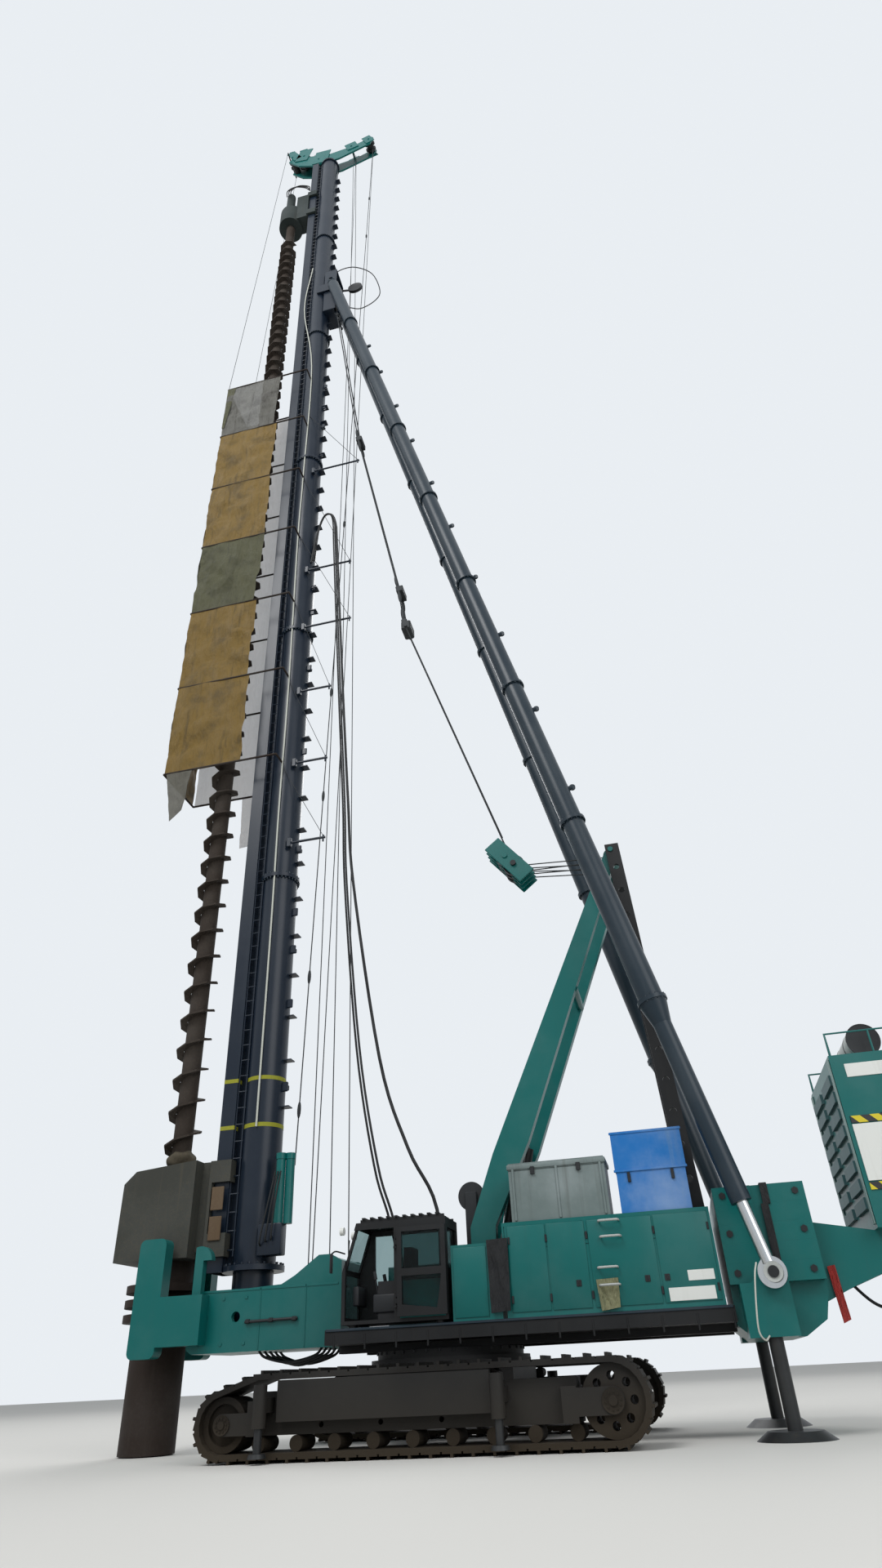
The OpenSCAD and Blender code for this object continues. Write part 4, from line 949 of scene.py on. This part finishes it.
class RIG_OT_upper_trim(bpy.types.Operator):
    """Doors, latches, plates, rails and fittings of the upper works"""

    bl_idname = "rig.upper_trim"
    bl_label = "Upper trim"

    # Y of the housing's near face, and X of the latches on it
    WALL = -874
    LATCHES = (4450, 5040, 5206)
    # X and Z of the rope drum's axle, and of the silencer's
    DRUM = (3402, 2001)
    SILENCER = (7385, 3000)

    def execute(self, context):
        self.housing()
        self.deck()
        self.gantry()
        self.counterweight()
        self.power_pack()
        self.cab()
        self.bracket()
        self.chests()
        return {"FINISHED"}

    def housing(self):
        wall = self.WALL
        leaves = [block((x0, wall - 10, 945), (x1, wall, 1615), 5, 2)
                  for x0, x1 in ((3850, 4190), (4205, 4545), (4575, 5140), (5160, 5625))]
        leaves.append(block((3335, wall - 10, 930), (3640, wall, 1475), 5, 2))
        on_upper("housing_leaves", leaves, "teal")
        latches = [block((x - 22, -892, 1108), (x + 22, -883, 1158)) for x in self.LATCHES]
        latches += [rod((x, -896, 1120), (x, -896, 1150), 9, 8) for x in self.LATCHES]
        latches += [block((x - 9, -892, z - 30), (x + 9, -876, z + 30), 3)
                    for x in (3860, 4198, 4560, 5150, 5615) for z in (1040, 1500)]
        on_upper("housing_latches", latches, "frame_steel")
        plates = [block((x0, -888, z0), (x1, -883, z1), 2)
                  for x0, x1, z0, z1 in ((5378, 5597, 1096, 1174), (5200, 5583, 954, 1052))]
        on_upper("housing_plates", plates, "white")
        rungs = [bent(((x0, -880, z), (x0 + 4, -925, z), (x0 + 30, -940, z), (x1 - 30, -940, z),
                       (x1 - 4, -925, z), (x1, -880, z)), 20, 4)
                 for x0, x1, z in ((4683, 4861, 1473), (4683, 4861, 1600), (4630, 4800, 1103),
                                   (4630, 4800, 1236))]
        on_upper("housing_rungs", rungs, "pale", angle=50)

    def deck(self):
        sills = [block((2130, y, 884), (5700, y + 12, 906)) for y in (-886, 874)]
        on_upper("deck_sills", sills, "stay")
        ribs = [block((x, side * 872 - 8, 740), (x + 16, side * 872 + 8, 862), 3)
                for side in (-1, 1) for x in range(2200, 5700, 290)]
        on_upper("deck_ribs", ribs, "black")
        on_upper("ring_bolts", bolt_ring((3072, 0, 700), UP, 690, 36, 26, 22), "frame_steel")

    def gantry(self):
        sleeves = [rod((3960, y, 2480), (3700, y, 1500), 120, 18) for y in (-200, 200)]
        on_upper("gantry_sleeves", sleeves, "black")
        x, z = self.DRUM
        drum = [wheel((x, 0, z), 190, 420, sides=36)]
        drum += [wheel((x, y, z), 270, 24, sides=36) for y in (-215, 215)]
        drum += [block((x - 62, y - 12, 900), (x + 62, y + 12, 2040), 8) for y in (-250, 250)]
        on_upper("rope_drum", drum, "frame_steel")

    def counterweight(self):
        strap = [block((x, -815, z0), (x + 65, -801, z1), 3)
                 for x, z0, z1 in ((6120, 1640, 1812), (6100, 1200, 1645))]
        strap.append(block((6120, -812, 1800), (6185, 812, 1812), 3))
        on_upper("slab_strap", strap, "sheet_black")
        bolts = [rod((x, -812, z), (x, -799, z), 60, 6)
                 for x in (5790, 6410) for z in (1130, 1430, 1730)]
        on_upper("slab_bolts", bolts, "frame_steel")

    def power_pack(self):
        board = [block((7040, -760, 1760), (7700, -750, 2230), 2),
                 block((7120, -757, 2640), (7640, -749, 2760), 2)]
        on_upper("pack_board", board, "white")
        stripes = [block((7040, -761, z), (7700, -749, z + 60), 1) for z in (1690, 2240)]
        on_upper("pack_stripes", stripes, "hazard")
        leaves = [block((6990, y, 1430), (7003, y + 75, 2820), 4, 2) for y in (-735, 660)]
        leaves += [block((x0, -762, 1450), (x1, -750, 2800), 4, 2)
                   for x0, x1 in ((7730, 7960), (7990, 8230))]
        on_upper("pack_doors", leaves, "door")
        rails = [hose([at(*p) for p in ((7030, y, 2850), (7030, y, 3060), (8200, y, 3060),
                                        (8200, y, 2850))], 24) for y in (-720, 720)]
        rails += [rod((x, y, 2850), (x, y, 3060), 20, 8) for x in (7420, 7810)
                  for y in (-720, 720)]
        on_upper("pack_rails", rails, "teal", angle=50)
        x, z = self.SILENCER
        rims = [wheel((x, y, z), 308, 20, 18, 6, 40) for y in (-602, 302)]
        rims += [wheel((x, y, z), 306, 22, sides=40) for y in (-380, 80)]
        on_upper("silencer_rims", rims, "frame_steel")

    def cab(self):
        on_upper("cab_panel", [block((2830, -882, 960), (3250, -874, 1250))], "teal")
        mirror = [bent(((2300, -872, 1500), (2230, -930, 1520), (2200, -960, 1500)), 14, 4),
                  block((2188, -985, 1340), (2206, -935, 1500), 6, 2)]
        on_upper("cab_mirror", mirror, "frame_steel", angle=50)
        levers = []
        for y in (-790, -480):
            levers += [rod((2600, y, 1150), (2570, y, 1300), 16, 8),
                       rod((2574, y, 1280), (2560, y, 1345), 34),
                       block((2560, y - 45, 1010), (2900, y + 45, 1160), 14, 2)]
        levers.append(block((2340, -760, 1080), (2400, -500, 1240), 14, 2))
        on_upper("cab_controls", levers, "frame_steel", angle=50)
        wiper = [rod((2262, -640, 1640), (2262, -720, 1280), 10, 8),
                 block((2258, -770, 1240), (2266, -670, 1262), 2)]
        on_upper("cab_wiper", wiper, "frame_steel", angle=50)
        lamps = [rod((2262, y, 1700), (2225, y, 1700), 70, 20) for y in (-800, -460)]
        on_upper("cab_lamps", lamps, "white")

    def bracket(self):
        pipe = [bent(((1150, -470, 1030), (1300, -474, 1032), (1500, -474, 1034),
                      (1690, -470, 1036)), 26, 4)]
        pipe += [rod((x - 20, -474, 1033), (x + 20, -474, 1033), 40, 6)
                 for x in (1180, 1420, 1660)]
        on_upper("bracket_pipe", pipe, "frame_steel", angle=50)
        seams = [block((x - 6, -456, 800), (x + 6, -449, 1320), 2) for x in (1290, 1760)]
        seams.append(block((600, -456, 1295), (2090, -449, 1315), 2))
        seams += [rod((x, -458, z), (x, -449, z), 34, 6)
                  for x in (660, 900, 1140) for z in (860, 1240)]
        on_upper("bracket_seams", seams, "teal")
        lines = []
        for i in range(5):
            y, dip = -330 + 130 * i, 690 - 12 * (i % 3)
            lines.append(bent(((1250, y, 795), (1330, y, 735), (1560, y + 15, dip),
                               (1820, y, 730), (1900, y, 795)), 24))
        on_upper("bracket_lines", lines, "rubber", angle=60)

    def chests(self):
        lid = [block((3885, -862, 2095), (4815, -418, 2140), 10, 2)]
        lid += [block((x, -862, 1660), (x + 22, -848, 2100)) for x in (3930, 4340, 4750)]
        on_upper("chest_lid", lid, "chest")
        clasps = [block((x - 20, -872, 2040), (x + 20, -858, 2110)) for x in (4130, 4560)]
        clasps += [block((x - 14, -868, 1900), (x + 14, -853, 1985)) for x in (5010, 5400)]
        on_upper("chest_clasps", clasps, "frame_steel")
        rims = [block((4880, -862, z), (5540, -852, z + 22)) for z in (1990, 2316)]
        on_upper("blue_rims", rims, "blue")


class RIG_OT_tool_trim(bpy.types.Operator):
    """Wear pads, mud and hoses of the drives, caps and steps of the tracks"""

    bl_idname = "rig.tool_trim"
    bl_label = "Tool trim"

    # The middle of the clump of mud in mm, and its radius in m
    MUD = (0, 0, 2680)
    MUD_RADIUS = 0.155
    # Y of the forks' outer face and of the side frame's
    FORK_Y, FRAME_Y = 1490, 1388

    def execute(self, context):
        self.tracks()
        pads = [block((560, side * 258 - 8, z), (700, side * 258 + 8, z + 230), 5)
                for side in (-1, 1) for z in (1790, 2080)]
        riding("drive_pads", pads, "pad", "casing_drive")
        riding("mud_clump", [self.clump()], "mud", "auger", 60)
        lines = [bent(((-60 + 50 * i, -305, 26700), (-40 + 60 * i, -350, 26900),
                       (150 + 70 * i, -345, 27040), (420 + 60 * i, -290, 26980),
                       (560, -240 - 12 * i, 26840)), 26) for i in range(3)]
        riding("top_drive_lines", lines, "rubber", "top_drive", 60)
        return {"FINISHED"}

    def clump(self):
        """A lump of mud with a surface of waves."""
        middle = at(*self.MUD)
        clump = added(bpy.ops.mesh.primitive_ico_sphere_add, subdivisions=4,
                      radius=self.MUD_RADIUS, location=middle)
        clump.scale = (1, 1, 0.75)
        settle(clump)
        chance = random.Random(5)
        waves = [(Vector([chance.uniform(-1, 1) for _ in range(3)]) * 38, chance.uniform(0, 6))
                 for _ in range(8)]
        for vertex in clump.data.vertices:
            out = vertex.co - middle
            swell = sum(math.sin(way.dot(out) + start) for way, start in waves)
            vertex.co += out.normalized() * 0.012 * swell / 2
        return clump

    def tracks(self):
        caps, steps = [], []
        for side in (-1, 1):
            for x, z, d in ((1477, 259, 140), (4667, 309, 170)):
                caps.append(wheel((x, side * self.FORK_Y, z), d, 20, 16, 5, 36))
                caps.append(wheel((x, side * (self.FORK_Y + 8), z), d * 0.4, 14, sides=24))
                caps += bolt_ring((x, side * (self.FORK_Y + 4), z), (0, side, 0), d * 0.34, 10,
                                  13, 10)
        on_tracks = partial(riding, body="undercarriage")
        on_tracks("hub_caps", caps, "track")
        # How far along and how far out a step's bar goes
        bar = ((0, 0), (3, 60), (24, 78), (206, 78), (227, 60), (230, 0))
        for side in (-1, 1):
            for x, z in ((2700, 300), (2700, 420), (3450, 360)):
                steps.append(bent([(x + along, side * (self.FRAME_Y + out), z)
                                   for along, out in bar], 18, 4))
        on_tracks("track_steps", steps, "frame_steel", angle=50)


# Stage


class RIG_PG_stage(bpy.types.PropertyGroup):
    """Sizes of the stage"""

    camera_place: bpy.props.FloatVectorProperty(
        name="Camera", description="Where the camera stands", size=3,
        default=(1.605, -9.605, 0.5), subtype="TRANSLATION", unit="LENGTH")
    pitch: bpy.props.FloatProperty(
        name="Pitch", description="How far the camera looks up",
        default=math.radians(34.32), subtype="ANGLE", unit="ROTATION")
    yaw: bpy.props.FloatProperty(
        name="Yaw", description="How far the camera turns from straight across",
        default=math.radians(-12.29), subtype="ANGLE", unit="ROTATION")
    roll: bpy.props.FloatProperty(
        name="Roll", description="How far the camera leans",
        default=math.radians(2.92), subtype="ANGLE", unit="ROTATION")
    lens: bpy.props.FloatProperty(
        name="Lens", description="Focal length on 36 mm of height",
        default=19.97, subtype="DISTANCE_CAMERA")
    floor_colour: bpy.props.FloatVectorProperty(
        name="Floor", description="Colour of the floor", size=3, default=(0.62, 0.61, 0.58),
        subtype="COLOR")


class RIG_OT_stage(bpy.types.Operator):
    """Makes the floor, the lamps, the world and the camera"""

    bl_idname = "rig.stage"
    bl_label = "Stage"

    SENSOR_MM, VIEW_END, FLOOR_SIZE = 36, 400, 240
    # Name, power in watts, size, place and aim
    LAMPS = (
        ("key_lamp", 6200, 14, (-10, -22, 30), (0, 0, 10)),
        ("fill_lamp", 3000, 18, (18, -20, 16), (0, 0, 8)),
        ("rim_lamp", 3200, 16, (-4, 20, 26), (0, 0, 12)),
    )
    SKY = (0.86, 0.9, 0.94, 1)
    # Strength of the sky as light, and what it gains where it is seen
    SKY_LIGHT, SKY_SEEN = 0.5, 0.45

    def execute(self, context):
        sizes = context.scene.rig_stage
        self.make_camera(context.scene, sizes)
        self.make_floor(sizes)
        self.make_lamps()
        self.make_world(context.scene)
        return {"FINISHED"}

    def make_camera(self, scene, sizes):
        ahead = Vector((math.sin(sizes.yaw), math.cos(sizes.yaw), 0))
        right = Vector((math.cos(sizes.yaw), -math.sin(sizes.yaw), 0))
        forward = ahead * math.cos(sizes.pitch) + Vector((0, 0, math.sin(sizes.pitch)))
        up = Vector((0, 0, math.cos(sizes.pitch))) - ahead * math.sin(sizes.pitch)
        x_axis = right * math.cos(sizes.roll) - up * math.sin(sizes.roll)
        y_axis = right * math.sin(sizes.roll) + up * math.cos(sizes.roll)
        turn = Matrix((x_axis, y_axis, -forward)).transposed().to_4x4()
        bpy.ops.object.camera_add()
        camera = bpy.context.object
        camera.name = "camera"
        camera.matrix_world = Matrix.Translation(Vector(sizes.camera_place)) @ turn
        camera.data.sensor_fit = "VERTICAL"
        camera.data.sensor_height = self.SENSOR_MM
        camera.data.lens = sizes.lens
        camera.data.clip_end = self.VIEW_END
        scene.camera = camera

    def make_floor(self, sizes):
        bpy.ops.mesh.primitive_plane_add(size=self.FLOOR_SIZE, location=(0, 0, 0))
        floor = bpy.context.object
        floor.name = "floor"
        material, graph, shader = new_material("floor_finish")
        graph.feed(shader, {"Base Color": (*sizes.floor_colour, 1.0), "Roughness": 0.9})
        floor.data.materials.append(material)

    def make_lamps(self):
        for name, power, size, place, aim in self.LAMPS:
            bpy.ops.object.light_add(type="AREA", location=place)
            lamp = bpy.context.object
            lamp.name = name
            lamp.data.energy = power
            lamp.data.size = size
            way = Vector(aim) - Vector(place)
            lamp.rotation_euler = way.to_track_quat("-Z", "Y").to_euler()

    def make_world(self, scene):
        world = bpy.data.worlds.new("sky")
        scene.world = world
        world.use_nodes = True
        graph = Graph(world.node_tree)
        path = graph.add("LightPath")
        mirrored = graph.most(path["Is Glossy Ray"], path["Is Transmission Ray"])
        seen = graph.most(path["Is Camera Ray"], mirrored)
        graph.feed(world.node_tree.nodes["Background"], {
            "Color": self.SKY,
            "Strength": graph.plus(self.SKY_LIGHT, graph.times(seen, self.SKY_SEEN))})


class RIG_PT_panel(bpy.types.Panel):
    """Offers each step of the dressing, and the sizes of the stage"""

    bl_label = "Piling rig"
    bl_idname = "RIG_PT_panel"
    bl_space_type = "VIEW_3D"
    bl_region_type = "UI"
    bl_category = "Piling rig"

    def draw(self, context):
        for operator in OPERATORS:
            self.layout.operator(operator.bl_idname)
        for name in ("camera_place", "pitch", "yaw", "roll", "lens", "floor_colour"):
            self.layout.prop(context.scene.rig_stage, name)


OPERATORS = (RIG_OT_stage, RIG_OT_paint_frame, RIG_OT_hoses, RIG_OT_sheets, RIG_OT_ropes,
             RIG_OT_leader_trim, RIG_OT_stay_trim, RIG_OT_upper_trim, RIG_OT_tool_trim)
CLASSES = (RIG_PG_stage,) + OPERATORS + (RIG_PT_panel,)


def register():
    for cls in CLASSES:
        bpy.utils.register_class(cls)
    bpy.types.Scene.rig_stage = bpy.props.PointerProperty(type=RIG_PG_stage)


def unregister():
    del bpy.types.Scene.rig_stage
    for cls in reversed(CLASSES):
        bpy.utils.unregister_class(cls)


def main():
    register()
    scene = bpy.context.scene
    scene.view_settings.view_transform = "Standard"
    for operator in OPERATORS:
        bpy.ops.object.select_all(action="DESELECT")
        group, name = operator.bl_idname.split(".")
        getattr(getattr(bpy.ops, group), name)()


if __name__ == "__main__":
    main()
